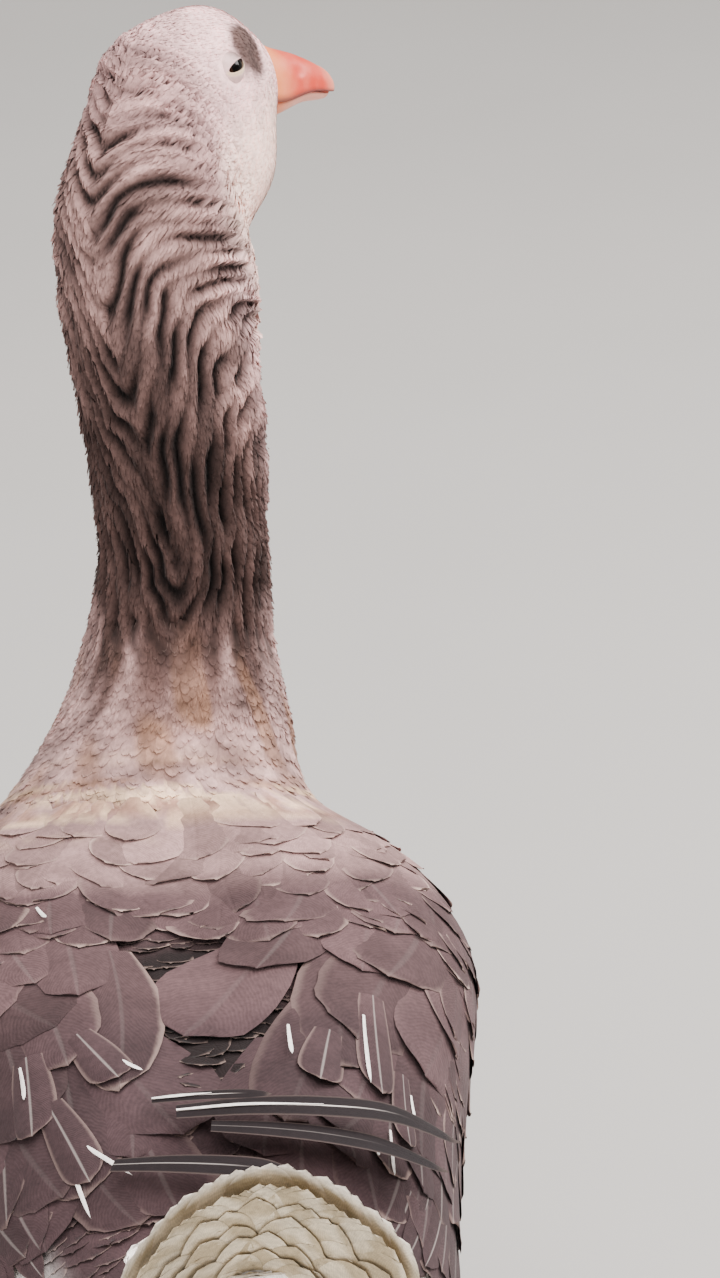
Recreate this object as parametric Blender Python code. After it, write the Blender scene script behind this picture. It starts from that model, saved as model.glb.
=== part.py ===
"""A young heavy goose, life size, standing on both feet with its head turned to its right.

Metres, +Z up, +Y the way the breast faces, +X the bird's right. The origin lies on the floor
under the middle of the bird's box. Head, neck, torso and tail core are one tube of plane
sections, parted by thin plane cuts. The wings lie on the tube, built of overlapping vanes.
"""

import math
import random

import bmesh
import bpy
import numpy as np
from mathutils import Matrix, Vector

# Overall sizes
CROWN_HEIGHT = 0.7235
BELLY_CLEARANCE = 0.112
BREAST_REACH = 0.212
BODY_HALF_WIDTH = 0.1218
NECK_HALF_WIDTH = 0.0368
HEAD_YAW = math.radians(49)
NECK_AXIS_Y = 0.134
NECK_SWAY = 0.0167
SEAM = 0.0003
FLAT_ANGLE = math.radians(0.3)
MERGE = 0.000004
CENTRE_SHIFT = 0.0487
TORSO_ROWS, TORSO_COLUMNS = 18, 30

# Bill
BILL_LENGTH = 0.0500
BILL_PITCH = math.radians(6)
BILL_HALF_WIDTH = 0.0165
BILL_DEPTH = 0.0260
LOWER_BILL_DEPTH = 0.0100
PALATE_RISE = 0.0008
MOUTH_DROP = 0.0060
MOUTH_BEND = 0.0022
MOUTH_GAP = 0.0004
LOWER_BILL_SHARE = 0.94
NOSTRIL_SIZE = (0.0016, 0.0048, 0.0022)
NOSTRIL_PLACE, NOSTRIL_RISE, NOSTRIL_SIDE = 0.42, 0.44, 0.72
BILL_SQUARENESS = 0.86
JAW_TAPER = 0.62
JAW_WIDTH = 0.93

# Eyes
EYE_RADIUS = 0.0078
EYE_STATION = 2.75
EYE_ANGLE = math.radians(38.5)
EYE_DEPTH = 0.0052
LID_RADIUS = 0.0064
LID_THICKNESS = 0.0014
LID_SQUASH = 0.74
LID_COLUMNS, LID_SIDES = 14, 6

# Folds of the head
POUCH_DEPTH = 0.0085
POUCH_STATION = 2.0
CHEEK_DEPTH = 0.0045
BROW_DEPTH = 0.0018
LORE_DEPTH = 0.0022

# Neck furrows
FURROWS = 22
FURROW_DEPTH = 0.0020
FURROW_LEAN = 0.5
FURROW_REACH = 3.0

# Wings
WING_GAP = 0.0009
WING_SINK = 0.0040
WING_RIM = 0.0016
WING_DEPTH = 0.0075
WING_LOW, WING_HIGH = math.radians(-24), math.radians(89.5)
VANE_THICKNESS = 0.0011
VANE_EDGE = 0.0006
VANE_DROOP = 0.0012

# Tail
TAIL_PITCH = math.radians(58)
TAIL_ROOT = (0.006, -0.228, 0.3155)
TAIL_ARCH = 0.5
OUTER_ROOT_DROP = 0.012
OUTER_TIP_DROP = 0.010
TIP_DROOP = 0.003
TAIL_VANE_CAMBER = 0.0010

# Legs
KNEE = (0.060, 0.022, 0.150)
ANKLE = (0.056, -0.026, 0.094)
FOOT_JOINT = (0.052, 0.004, 0.0125)
THIGH_SHARES = (0.0, 0.34, 0.7)
THIGH_END = (0, 0.004, 0.008)
THIGH_RADII = (0.0300, 0.0245, 0.0160, 0.0098)
THIGH_SIDES, SHANK_SIDES, TOE_SIDES = 14, 10, 8
SHANK_SHARES = (0.18, 0.5, 0.85)
SHANK_RADII = (0.0082, 0.0086, 0.0088, 0.0066, 0.0060, 0.0066)
KNUCKLE_RADII = (0.0066, 0.0080)
WEB_THICKNESS = 0.0024
WEB_REACH = 0.80
WEB_END = 0.93
TOES = (
    ("inner", math.radians(-24), 0.066, 0.0062),
    ("middle", math.radians(4), 0.080, 0.0068),
    ("outer", math.radians(29), 0.072, 0.0060),
)

# Points of a toe: share of its length, drop below the foot's joint, share of its radius.
TOE_LINE = (
    (-0.05, 0.0040, 1.15),
    (0.22, 0.0045, 1.0),
    (0.5, 0.0068, 0.85),
    (0.8, 0.0082, 0.78),
    (1.0, 0.0085, 0.5),
)
HIND_HEADING = (-0.35, -1.0, -0.28)
HIND_ROOT = (0, -0.002, 0.005)
HIND_PLACES = (-0.001, 0.010, 0.018)
HIND_RADII = (0.0042, 0.0036, 0.0024)
HIND_FLOOR = 0.0004
CLAW_LENGTH, HIND_CLAW_LENGTH = 0.0085, 0.0055
CLAW_SHARES = (0.92, 0.66, 0.22)
CLAW_RISE, CLAW_DROP = 0.0002, 0.0012

# Stations along the bird: name, back-side point (y, z), belly-side point (y, z), sway to the
# bird's right, half width, share of the depth below the widest place, squareness.
STATIONS = (
    ("bill root", (0.1935, 0.7050), (0.1925, 0.6650), 0.0050, 0.0190, 0.42, 2.0),
    ("lore", (0.1820, 0.7150), (0.1895, 0.6530), 0.0052, 0.0235, 0.40, 2.0),
    ("eye", (0.1680, 0.7222), (0.1855, 0.6402), 0.0056, 0.0272, 0.38, 2.1),
    ("cheek", (0.1454, CROWN_HEIGHT), (0.1737, 0.6294), 0.0072, 0.0314, 0.38, 2.1),
    ("hind crown", (0.1191, 0.7175), (0.1584, 0.6114), 0.0095, 0.0367, 0.42, 2.1),
    ("nape", (0.0961, 0.6980), (0.1580, 0.5874), 0.0173, 0.0408, 0.46, 2.0),
    ("upper neck", (0.0785, 0.6640), (0.1619, 0.5583), 0.0160, 0.0426, 0.50, 2.0),
    ("neck 1", (0.0723, 0.6230), (0.1665, 0.5271), NECK_SWAY, 0.0415, 0.50, 2.0),
    ("neck 2", (0.0763, 0.5780), (0.1701, 0.4940), 0.0166, 0.0384, 0.50, 2.0),
    ("neck 3", (0.0855, 0.5320), (0.1717, 0.4640), 0.0162, NECK_HALF_WIDTH, 0.50, 2.0),
    ("neck 4", (0.0934, 0.4900), (0.1752, 0.4320), 0.0152, 0.0385, 0.50, 2.0),
    ("neck 5", (0.0964, 0.4530), (0.1810, 0.3960), 0.0121, 0.0445, 0.50, 2.0),
    ("neck base", (0.0931, 0.4200), (0.1930, 0.3540), 0.0084, 0.0557, 0.50, 2.0),
    ("shoulder", (0.0800, 0.3950), (0.2070, 0.3020), 0.0, 0.0719, 0.55, 2.15),
    ("breast", (0.0570, 0.3790), (BREAST_REACH, 0.2400), 0.0, 0.1004, 0.61, 2.4),
    ("keel front", (0.0240, 0.3700), (0.1950, 0.1780), 0.0, 0.1201, 0.66, 2.55),
    ("keel", (-0.0140, 0.3640), (0.1480, 0.1290), 0.0, BODY_HALF_WIDTH, 0.66, 2.6),
    ("middle", (-0.0540, 0.3580), (0.0780, BELLY_CLEARANCE), 0.0, 0.1120, 0.63, 2.55),
    ("belly", (-0.0940, 0.3500), (0.0000, BELLY_CLEARANCE), 0.0, 0.1040, 0.57, 2.45),
    ("loin", (-0.1320, 0.3400), (-0.0770, 0.1150), 0.0, 0.0985, 0.55, 2.35),
    ("rump", (-0.1660, 0.3290), (-0.1500, 0.1320), 0.0, 0.0930, 0.53, 2.3),
    ("vent", (-0.1920, 0.3210), (-0.2080, 0.1720), 0.0, 0.0790, 0.52, 2.2),
    ("tail root", (-0.2100, 0.3220), (-0.2430, 0.2240), 0.0, 0.0640, 0.50, 2.1),
    ("tail base", (-0.2230, 0.3320), (-0.2600, 0.2790), 0.0, 0.0510, 0.50, 2.0),
    ("tail core", (-0.2350, 0.3490), (-0.2660, 0.3230), 0.0, 0.0440, 0.50, 2.0),
    ("core end", (-0.2480, 0.3700), (-0.2640, 0.3600), 0.0, 0.0400, 0.50, 2.0),
)
STATION = {row[0]: place for place, row in enumerate(STATIONS)}
STATION_VALUES = [(*back, *belly, *rest) for _, back, belly, *rest in STATIONS]
HEAD_END = STATION["nape"]
NECK_END = STATION["neck base"] + 0.4
TORSO_END = STATION["vent"] + 0.5
TORSO_STEP = (TORSO_END - NECK_END) / (TORSO_ROWS - 1)
WING_FRONT, WING_REAR = NECK_END + TORSO_STEP, NECK_END + 15 * TORSO_STEP

# Tiers of vanes on a wing: name, station of the roots, lowest and highest angle, count, length,
# width, turn towards the back line, height of root and tip off the wing, points across.
WING_TIERS = (
    ("lesser coverts", 13.2, -12, 50, 3, 0.050, 0.036, 2, -0.0014, 0.0020, 2),
    ("middle coverts", 14.3, -18, 28, 3, 0.054, 0.036, 4, -0.0014, 0.0024, 2),
    ("mantle", 14.2, 42, 80, 3, 0.062, 0.044, 0, -0.0014, 0.0026, 2),
    ("greater coverts", 15.3, -18, 20, 3, 0.062, 0.037, 7, -0.0014, 0.0026, 2),
    ("scapulars 1", 15.5, 30, 80, 4, 0.068, 0.044, 2, -0.0014, 0.0030, 2),
    ("secondaries", 16.4, -18, 10, 3, 0.096, 0.038, 12, -0.0016, 0.0028, 2),
    ("scapulars 2", 16.6, 22, 74, 4, 0.074, 0.047, 4, -0.0014, 0.0034, 2),
    ("scapulars 3", 17.6, 34, 78, 3, 0.078, 0.048, 2, -0.0014, 0.0038, 2),
    ("tertials", 18.2, 4, 44, 3, 0.104, 0.042, 6, -0.0014, 0.0034, 2),
    ("primaries", 18.9, 22, 36, 2, 0.110, 0.022, 8, -0.0010, 0.0010, 2),
)

# Primaries of the left wing that cross over the back: x, y and z of the path points, width, roll.
CROSSING_PRIMARIES = (
    (
        (-0.070, -0.030, 0.022, 0.070, 0.104),
        (-0.126, -0.138, -0.142, -0.137, -0.131),
        (0.333, 0.3535, 0.3580, 0.3460, 0.3230),
        0.0165,
        0.10,
    ),
    (
        (-0.066, -0.040, -0.012, 0.012, 0.030),
        (-0.110, -0.122, -0.128, -0.129, -0.128),
        (0.337, 0.3540, 0.3585, 0.3595, 0.3595),
        0.0150,
        0.10,
    ),
    (
        (-0.070, -0.040, -0.012, 0.012, 0.028),
        (-0.128, -0.142, -0.152, -0.157, -0.160),
        (0.333, 0.3460, 0.3500, 0.3500, 0.3490),
        0.0200,
        0.06,
    ),
)

# Tiers of the tail: name, count, length, width, height above the middle of the core, drop from
# the middle one to the outer ones, spread in degrees, spread of the roots, points across.
TAIL_TIERS = (
    ("fan", 11, 0.130, 0.030, 0.0060, 0.0060, 12.5, 0.027, 2),
    ("upper coverts", 5, 0.082, 0.032, 0.0095, 0.0045, 11, 0.024, 2),
    ("short upper coverts", 4, 0.060, 0.034, 0.0125, 0.0040, 9, 0.021, 2),
    ("under coverts", 6, 0.104, 0.032, -0.0030, 0.0040, 12, 0.025, 2),
    ("middle under coverts", 5, 0.080, 0.034, -0.0075, 0.0040, 11, 0.023, 2),
    ("short under coverts", 4, 0.058, 0.036, -0.0115, 0.0035, 9, 0.020, 2),
)


# Sections of the bill: place along it, half width and height of the upper bill, as shares.
BILL_SECTIONS = (
    (0.0, 1.0, 1.0),
    (0.14, 0.97, 0.88),
    (0.3, 0.92, 0.74),
    (0.46, 0.87, 0.61),
    (0.62, 0.82, 0.50),
    (0.78, 0.76, 0.42),
    (0.9, 0.66, 0.35),
    (0.97, 0.5, 0.26),
    (1.0, 0.26, 0.1),
)


def spline(values, at):
    """Smooth curve through values standing at 0, 1, 2 and so on, read at the places in at."""
    values = np.asarray(values, float)
    count = len(values)
    matrix = 4.0 * np.eye(count) + np.eye(count, k=1) + np.eye(count, k=-1)
    matrix[0, :2], matrix[-1, -2:] = (2, 1), (1, 2)
    padded = np.vstack([values[:1], values, values[-1:]])
    slopes = np.linalg.solve(matrix, 3 * (padded[2:] - padded[:-2]))
    at = np.clip(np.asarray(at, float), 0, count - 1)
    low = np.minimum(at.astype(int), count - 2)
    part = (at - low)[..., None]
    start, end, rise, fall = values[low], values[low + 1], slopes[low], slopes[low + 1]
    return (
        start * (1 + 2 * part) * (1 - part) ** 2
        + end * part**2 * (3 - 2 * part)
        + rise * part * (1 - part) ** 2
        - fall * part**2 * (1 - part)
    )


def ease(low, high, at):
    """0 before low, 1 after high, smooth between."""
    part = np.clip((np.asarray(at, float) - low) / (high - low), 0, 1)
    return part * part * (3 - 2 * part)


def bump(middle, reach, at):
    """1 at the middle, 0 beyond reach on either side, smooth between."""
    return 1 - ease(0, reach, np.abs(np.asarray(at, float) - middle))


def power(value, exponent):
    """Power that keeps the sign of its base."""
    return np.sign(value) * np.abs(value) ** exponent


def turned(points, yaw):
    """Points turned to the bird's right about the upright axis of the neck."""
    x, y = points[..., 0], points[..., 1] - NECK_AXIS_Y
    c, s = np.cos(yaw), np.sin(yaw)
    return np.stack([x * c + y * s, NECK_AXIS_Y + y * c - x * s, points[..., 2]], -1)


def furrow_shift(station, angle):
    """How far a furrow has run round the neck, away from the throat and towards the nape."""
    run = FURROW_LEAN * (1 - np.exp(-np.maximum(station - HEAD_END, 0) / FURROW_REACH))
    return run * np.cos(angle)


def relief(station, angle):
    """Height of the folds above the plain tube: throat pouch, cheeks, brow, lore and furrows."""
    below = np.abs(np.mod(angle + 1.5 * math.pi, 2 * math.pi) - math.pi)
    rise = np.sin(angle)
    pouch = POUCH_DEPTH * bump(POUCH_STATION, 2.4, station) * (1 - ease(0.0, 0.75, below))
    pouch_fold = 0.22 * POUCH_DEPTH * bump(POUCH_STATION + 0.8, 2.4, station) * bump(0.62, 0.24, below)
    cheek = CHEEK_DEPTH * bump(3.0, 1.9, station) * bump(-0.35, 0.7, rise)
    brow = BROW_DEPTH * bump(2.2, 1.3, station) * bump(0.80, 0.18, rise)
    lore = LORE_DEPTH * bump(1.3, 0.9, station) * bump(0.55, 0.28, rise)
    return pouch - pouch_fold + cheek + brow - lore


def furrow(station, place):
    """Height of the neck furrows at a place round the neck, counted before they run round it."""
    wave = 0.5 * (np.cos(FURROWS * place) - 1)
    return FURROW_DEPTH * wave * bump(8.6, 3.5, station)


def outline(station, angle, inset=0.0, folds=True, ridges=0.0):
    """Points of the flesh. The angle is 0 at the bird's right side and 90 degrees along the back."""
    station, angle = np.broadcast_arrays(np.asarray(station, float), np.asarray(angle, float))
    row = spline(STATION_VALUES, station)
    back, belly = row[..., 0:2], row[..., 2:4]
    sway, half, share, square = (row[..., column] for column in range(4, 8))
    depth = np.linalg.norm(back - belly, axis=-1)
    across = half * power(np.cos(angle), 2 / square)
    rise = power(np.sin(angle), 2 / square)
    along = rise * np.where(rise > 0, 1 - share, share) * depth
    reach = np.hypot(across, along)
    height = (relief(station, angle) if folds else 0.0) + ridges - inset
    scale = (1 + height / reach)[..., None]
    middle = belly + share[..., None] * (back - belly)
    plane_up = (back - belly) / depth[..., None]
    in_plane = middle + along[..., None] * scale * plane_up
    points = np.concatenate([across[..., None] * scale, in_plane], -1)
    yaw = HEAD_YAW * (1 - ease(HEAD_END, STATION["neck base"], station))
    points = turned(points, yaw)
    points[..., 0] += np.maximum(sway, 0)
    return points


def surface(station, angle, folds=False):
    """Points of the flesh with the steps along it, round it and straight out of it."""
    step = 1e-3
    here = outline(station, angle, folds=folds)
    later, sooner = (outline(station + way, angle, folds=folds) for way in (step, -step))
    above, below = (outline(station, angle + way, folds=folds) for way in (step, -step))
    back, round_ = (later - sooner) / (2 * step), (above - below) / (2 * step)
    normal = np.cross(back, round_)
    normal /= np.linalg.norm(normal, axis=-1, keepdims=True)
    middle = outline(station, angle, inset=0.005, folds=folds)
    return here, back, round_, normal * np.sign(np.sum(normal * (here - middle), -1, keepdims=True))


def section_normal(station):
    """Direction towards the tail, square to the plane of a section."""
    ring = outline(np.full(4, float(station)), np.radians([0, 90, 180, 270]), folds=False)
    normal = np.cross(ring[0] - ring[2], ring[1] - ring[3])
    return normal / np.linalg.norm(normal)


def material(name, colour, roughness):
    """A plain material of one colour."""
    made = bpy.data.materials.new(name)
    made.use_nodes = True
    shader = made.node_tree.nodes["Principled BSDF"]
    shader.inputs["Base Color"].default_value = (*colour, 1)
    shader.inputs["Roughness"].default_value = roughness
    return made


def link(name, mesh, paint=None):
    """Put a mesh in the scene as an object, with its material if it has one."""
    made = bpy.data.objects.new(name, mesh)
    bpy.context.scene.collection.objects.link(made)
    if paint is not None:
        mesh.materials.clear()
        mesh.materials.append(paint)
    return made


def solid(name, points, faces, paint=None, smooth=True):
    """An object from points and faces, with its faces turned outwards."""
    mesh = bpy.data.meshes.new(name)
    shape = bmesh.new()
    corners = [shape.verts.new(point) for point in np.asarray(points, float)]
    for face in faces:
        shape.faces.new([corners[index] for index in face])
    bmesh.ops.recalc_face_normals(shape, faces=shape.faces)
    shape.to_mesh(mesh)
    shape.free()
    made = link(name, mesh, paint)
    if smooth:
        mesh.shade_smooth()
    return made


def ring_faces(rows, columns):
    """Faces through rings of points, with a flat cap on each end ring."""
    faces = []
    for r in range(rows - 1):
        for c in range(columns):
            near, far = r * columns + c, r * columns + (c + 1) % columns
            faces += [(near, far, far + columns), (near, far + columns, near + columns)]
    faces.append(tuple(range(columns))[::-1])
    faces.append(tuple((rows - 1) * columns + c for c in range(columns)))
    return faces


def ring_tube(name, rings, paint=None):
    """A closed solid through an array of rings, rows by columns by xyz."""
    rows, columns = rings.shape[:2]
    return solid(name, rings.reshape(-1, 3), ring_faces(rows, columns), paint)


def body_length(name, first, last, rows, columns, paint, furrowed=False, grow=0.0):
    """A length of the flesh between two plane cuts, each drawn back by half a seam."""
    station = np.linspace(first, last, rows)[:, None]
    place = np.linspace(0, 2 * math.pi, columns, endpoint=False)[None, :]
    angle, ridges = place, 0.0
    if furrowed:
        angle = place + furrow_shift(station, place)
        ridges = furrow(station, place)
    rings = outline(station, angle, inset=-grow, ridges=ridges)
    if grow == 0:
        rings[0] += section_normal(first) * SEAM / 2
        rings[-1] -= section_normal(last) * SEAM / 2
    return ring_tube(name, rings, paint)


def tube_along(name, path, radii, columns, paint=None, floor=None):
    """A round tube through points of a path, with ends closed flat."""
    path = np.asarray(path, float)
    radii = np.asarray(radii, float)
    ahead = np.gradient(path, axis=0)
    ahead /= np.linalg.norm(ahead, axis=1, keepdims=True)
    side = np.cross(ahead, (0.0, 0.02, 1.0))
    side /= np.linalg.norm(side, axis=1, keepdims=True)
    over = np.cross(side, ahead)
    angle = np.linspace(0, 2 * math.pi, columns, endpoint=False) + math.pi / columns
    ring = np.cos(angle)[None, :, None] * side[:, None] + np.sin(angle)[None, :, None] * over[:, None]
    points = path[:, None] + radii[:, None, None] * ring
    if floor is not None:
        points[..., 2] = np.maximum(points[..., 2], floor)
    return ring_tube(name, points, paint)


def boolean(target, operation, tools):
    """Join the tools to the target, or cut them out of it, and remove them."""
    group = bpy.data.collections.new("tools")
    bpy.context.scene.collection.children.link(group)
    for tool in tools:
        bpy.context.scene.collection.objects.unlink(tool)
        group.objects.link(tool)
    step = target.modifiers.new(operation, "BOOLEAN")
    step.operation = operation
    step.operand_type = "COLLECTION"
    step.collection = group
    step.solver = "MANIFOLD"
    graph = bpy.context.evaluated_depsgraph_get()
    mesh = bpy.data.meshes.new_from_object(target.evaluated_get(graph))
    target.modifiers.clear()
    old = target.data
    paint = old.materials[0] if old.materials else None
    target.data = mesh
    mesh.name = target.name
    mesh.materials.clear()
    if paint is not None:
        mesh.materials.append(paint)
    for polygon in mesh.polygons:
        polygon.material_index = 0
    bpy.data.meshes.remove(old)
    for tool in tools:
        bpy.data.objects.remove(tool)
    bpy.data.collections.remove(group)


def keep_largest(obj):
    """Merge points that all but touch and keep only the largest closed surface."""
    shape = bmesh.new()
    shape.from_mesh(obj.data)
    bmesh.ops.remove_doubles(shape, verts=shape.verts, dist=MERGE)
    bmesh.ops.dissolve_degenerate(shape, edges=shape.edges, dist=MERGE)
    bmesh.ops.dissolve_limit(shape, angle_limit=FLAT_ANGLE, verts=shape.verts, edges=shape.edges)
    bmesh.ops.triangulate(shape, faces=shape.faces)
    left = set(shape.faces)
    best = []
    while left:
        front = [left.pop()]
        group = list(front)
        while front:
            near = {f for e in front.pop().edges for f in e.link_faces if f in left}
            left -= near
            front.extend(near)
            group.extend(near)
        best = max(best, group, key=len)
    keep = set(best)
    bmesh.ops.delete(shape, geom=[f for f in shape.faces if f not in keep], context="FACES")
    bmesh.ops.delete(shape, geom=[v for v in shape.verts if not v.link_faces], context="VERTS")
    shape.to_mesh(obj.data)
    shape.free()
    obj.data.shade_smooth()


# Places along a vane and its half width there, as shares of its length and half width.
VANE_PLACES = np.array([0.0, 0.48, 0.84, 1.0])
VANE_WIDTHS = np.array([0.62, 1.0, 0.80, 0.28])
PRIMARY_WIDTHS = np.array([0.85, 1.0, 0.9, 0.6, 0.12])
PRIMARY_CAMBER = 0.0004


def vane_solid(name, upper, normals, grow=0.0):
    """A thin closed vane. upper holds rows of points across its upper face."""
    rows, across = upper.shape[:2]
    place = np.linspace(-1, 1, across)
    thick = VANE_THICKNESS + (VANE_EDGE - VANE_THICKNESS) * np.abs(place) + 2 * grow
    upper = upper + normals * grow
    under = upper - normals * thick[None, :, None]
    points = np.concatenate([upper.reshape(-1, 3), under.reshape(-1, 3)])
    shift = rows * across
    faces = []
    for r in range(rows - 1):
        for c in range(across - 1):
            a, b = r * across + c, r * across + c + 1
            d, e = a + across, b + across
            split = [(a, b, e), (a, e, d)] if c % 2 == 0 else [(a, b, d), (b, e, d)]
            faces += split
            faces += [tuple(index + shift for index in face[::-1]) for face in split]
        for c in (0, across - 1):
            a, b = r * across + c, (r + 1) * across + c
            faces += [(a, b, b + shift), (a, b + shift, a + shift)]
    for r in (0, rows - 1):
        for c in range(across - 1):
            a = r * across + c
            faces.append((a, a + 1, a + 1 + shift, a + shift))
    return solid(name, points, faces)


def step_on(station, angle, aim, distance):
    """Move over the flesh: distance along a heading, 0 rearwards, positive towards the back line."""
    _, back, round_, _ = surface(station, angle)
    length = np.linalg.norm(back, axis=-1)
    unit = back / length[..., None]
    square = round_ - np.sum(round_ * unit, -1, keepdims=True) * unit
    width = np.linalg.norm(square, axis=-1)
    turn = distance * np.sin(aim) / width
    lean = np.sum(round_ * unit, -1) * turn
    return station + (distance * np.cos(aim) - lean) / length, angle + turn


def wing_depth(station, angle):
    """Thickness of the wing above the flesh, thinning towards its rim."""
    front = ease(WING_FRONT, WING_FRONT + 1.5, station)
    rear = 1 - ease(WING_REAR - 1.6, WING_REAR, station)
    low = ease(WING_LOW, WING_LOW + math.radians(18), angle)
    middle = 1 - 0.30 * ease(math.radians(76), math.radians(90), angle)
    swell = 1 + 0.9 * bump(16.6, 2.6, station) * bump(math.radians(28), math.radians(42), angle)
    return WING_GAP + WING_RIM + WING_DEPTH * front * rear * low * middle * swell


def wing_vane(name, station, angle, length, width, aim, root, tip, across):
    """A vane lying on the right wing, from a root at a station and angle of the flesh."""
    at_s, at_a = np.array(float(station)), np.array(float(angle))
    upper, normals = [], []
    for row, place in enumerate(VANE_PLACES):
        if row:
            at_s, at_a = step_on(at_s, at_a, aim, length * (place - VANE_PLACES[row - 1]))
        line, line_normals = [], []
        for side in np.linspace(-1, 1, across):
            s, a = step_on(at_s, at_a, aim + math.pi / 2, side * width / 2 * VANE_WIDTHS[row])
            a = min(a, WING_HIGH)
            here, _, _, normal = surface(s, a)
            height = wing_depth(s, a) + root + (tip - root) * place - VANE_DROOP * abs(side) * place
            line.append(here + normal * max(height, WING_GAP + VANE_THICKNESS))
            line_normals.append(normal)
        upper.append(line)
        normals.append(line_normals)
    return vane_solid(name, np.array(upper), np.array(normals))


def free_vane(name, row, grow=0.0):
    """A narrow pointed vane along a row of CROSSING_PRIMARIES; its roll tips its right edge down."""
    *axes, width, roll = row
    path = np.array(axes, float).T
    ahead = np.gradient(path, axis=0)
    ahead /= np.linalg.norm(ahead, axis=1, keepdims=True)
    side = np.cross(ahead, (0.0, 0.0, 1.0))
    side /= np.linalg.norm(side, axis=1, keepdims=True)
    over = np.cross(side, ahead)
    c, s = math.cos(roll), math.sin(roll)
    side, over = c * side - s * over, s * side + c * over
    halves = width / 2 * PRIMARY_WIDTHS + grow
    path[0], path[-1] = path[0] - ahead[0] * grow, path[-1] + ahead[-1] * grow
    hand = np.array([-1, 0, 1])[None, :, None]
    upper = path[:, None] + side[:, None] * halves[:, None, None] * hand
    upper = upper - over[:, None] * PRIMARY_CAMBER * np.abs(hand)
    return vane_solid(name, upper, np.repeat(over[:, None], 3, axis=1), grow)


def wing_shell(name, paint):
    """The body of the right wing, sunk a little into the flesh that is later cut out of it."""
    station = np.arange(WING_FRONT, WING_REAR + TORSO_STEP / 2, TORSO_STEP)[:, None]
    turn = 2 * math.pi / TORSO_COLUMNS
    angle = np.append(np.arange(WING_LOW, WING_HIGH, turn), WING_HIGH)[None, :]
    rows, columns = len(station), angle.size
    here, _, _, normal = surface(*np.broadcast_arrays(station, angle))
    upper = here + normal * wing_depth(*np.broadcast_arrays(station, angle))[..., None]
    lower = here - normal * WING_SINK
    points = np.concatenate([upper.reshape(-1, 3), lower.reshape(-1, 3)])
    shift = rows * columns
    faces = []
    for r in range(rows - 1):
        for c in range(columns - 1):
            a, b = r * columns + c, r * columns + c + 1
            d, e = a + columns, b + columns
            split = [(a, b, e), (a, e, d)]
            faces += split
            faces += [tuple(index + shift for index in face[::-1]) for face in split]
    rim = [(0, c) for c in range(columns)] + [(r, columns - 1) for r in range(1, rows)]
    rim += [(rows - 1, c) for c in range(columns - 2, -1, -1)] + [(r, 0) for r in range(rows - 2, 0, -1)]
    for (r0, c0), (r1, c1) in zip(rim, rim[1:] + rim[:1]):
        a, b = r0 * columns + c0, r1 * columns + c1
        faces.append((a, b, b + shift, a + shift))
    return solid(name, points, faces, paint)


def torso_cutter(grow):
    """The torso thickened a little and run on at both ends, to clear a neighbour off it."""
    first, last = NECK_END - TORSO_STEP, TORSO_END + TORSO_STEP
    return body_length("cutter", first, last, TORSO_ROWS + 2, TORSO_COLUMNS, None, grow=grow)


def mirrored(obj):
    """Reflect an object's mesh across the bird's middle plane."""
    obj.data.transform(Matrix.Scale(-1, 4, (1, 0, 0)))
    obj.data.flip_normals()


def build_wing(name, side, paint, chance):
    """One folded wing: its shell, then every tier of vanes, joined into one body."""
    wing = wing_shell(name, paint)
    vanes = []
    for tier, station, low, high, count, length, width, aim, root, tip, across in WING_TIERS:
        for place in range(count):
            angle = math.radians(low + (high - low) * place / (count - 1) + chance.uniform(-1.2, 1.2))
            vanes.append(
                wing_vane(
                    tier,
                    station + chance.uniform(-0.12, 0.12) + 0.25 * (place % 2),
                    angle,
                    length * chance.uniform(0.93, 1.07),
                    width * chance.uniform(0.94, 1.06),
                    math.radians(aim + chance.uniform(-4, 4)),
                    root,
                    tip + chance.uniform(0, 0.0005),
                    across,
                )
            )
    boolean(wing, "UNION", vanes)
    if side < 0:
        mirrored(wing)
        boolean(wing, "UNION", [free_vane("primary", row) for row in CROSSING_PRIMARIES])
    else:
        boolean(wing, "DIFFERENCE", [free_vane("cutter", row, SEAM) for row in CROSSING_PRIMARIES])
    boolean(wing, "DIFFERENCE", [torso_cutter(SEAM)])
    keep_largest(wing)
    return wing


def tail_vane(share, length, width, layer, spread, root_spread, across):
    """One vane of the tail fan or of the coverts on either face of it."""
    ahead = np.array([0, -math.cos(TAIL_PITCH), math.sin(TAIL_PITCH)])
    over = np.array([0, math.sin(TAIL_PITCH), math.cos(TAIL_PITCH)])
    side = np.array([1.0, 0, 0])
    lean, roll = spread * share, -TAIL_ARCH * share
    along = ahead * math.cos(lean) + side * math.sin(lean)
    cross = side * math.cos(lean) - ahead * math.sin(lean)
    face = over * math.cos(roll) - cross * math.sin(roll)
    cross = cross * math.cos(roll) + over * math.sin(roll)
    root = np.array(TAIL_ROOT) + side * root_spread * share + over * (layer - OUTER_ROOT_DROP * share**2)
    where = VANE_PLACES[:, None, None]
    hand = np.linspace(-1, 1, across)[None, :, None]
    wide = VANE_WIDTHS[:, None, None] * width / 2
    upper = root + along * length * where + cross * hand * wide
    droop = OUTER_TIP_DROP * share**2 * where + TIP_DROOP * where**2
    upper = upper - over * (droop + TAIL_VANE_CAMBER * np.abs(hand))
    return vane_solid("fan", upper, np.broadcast_to(face, upper.shape))


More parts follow.
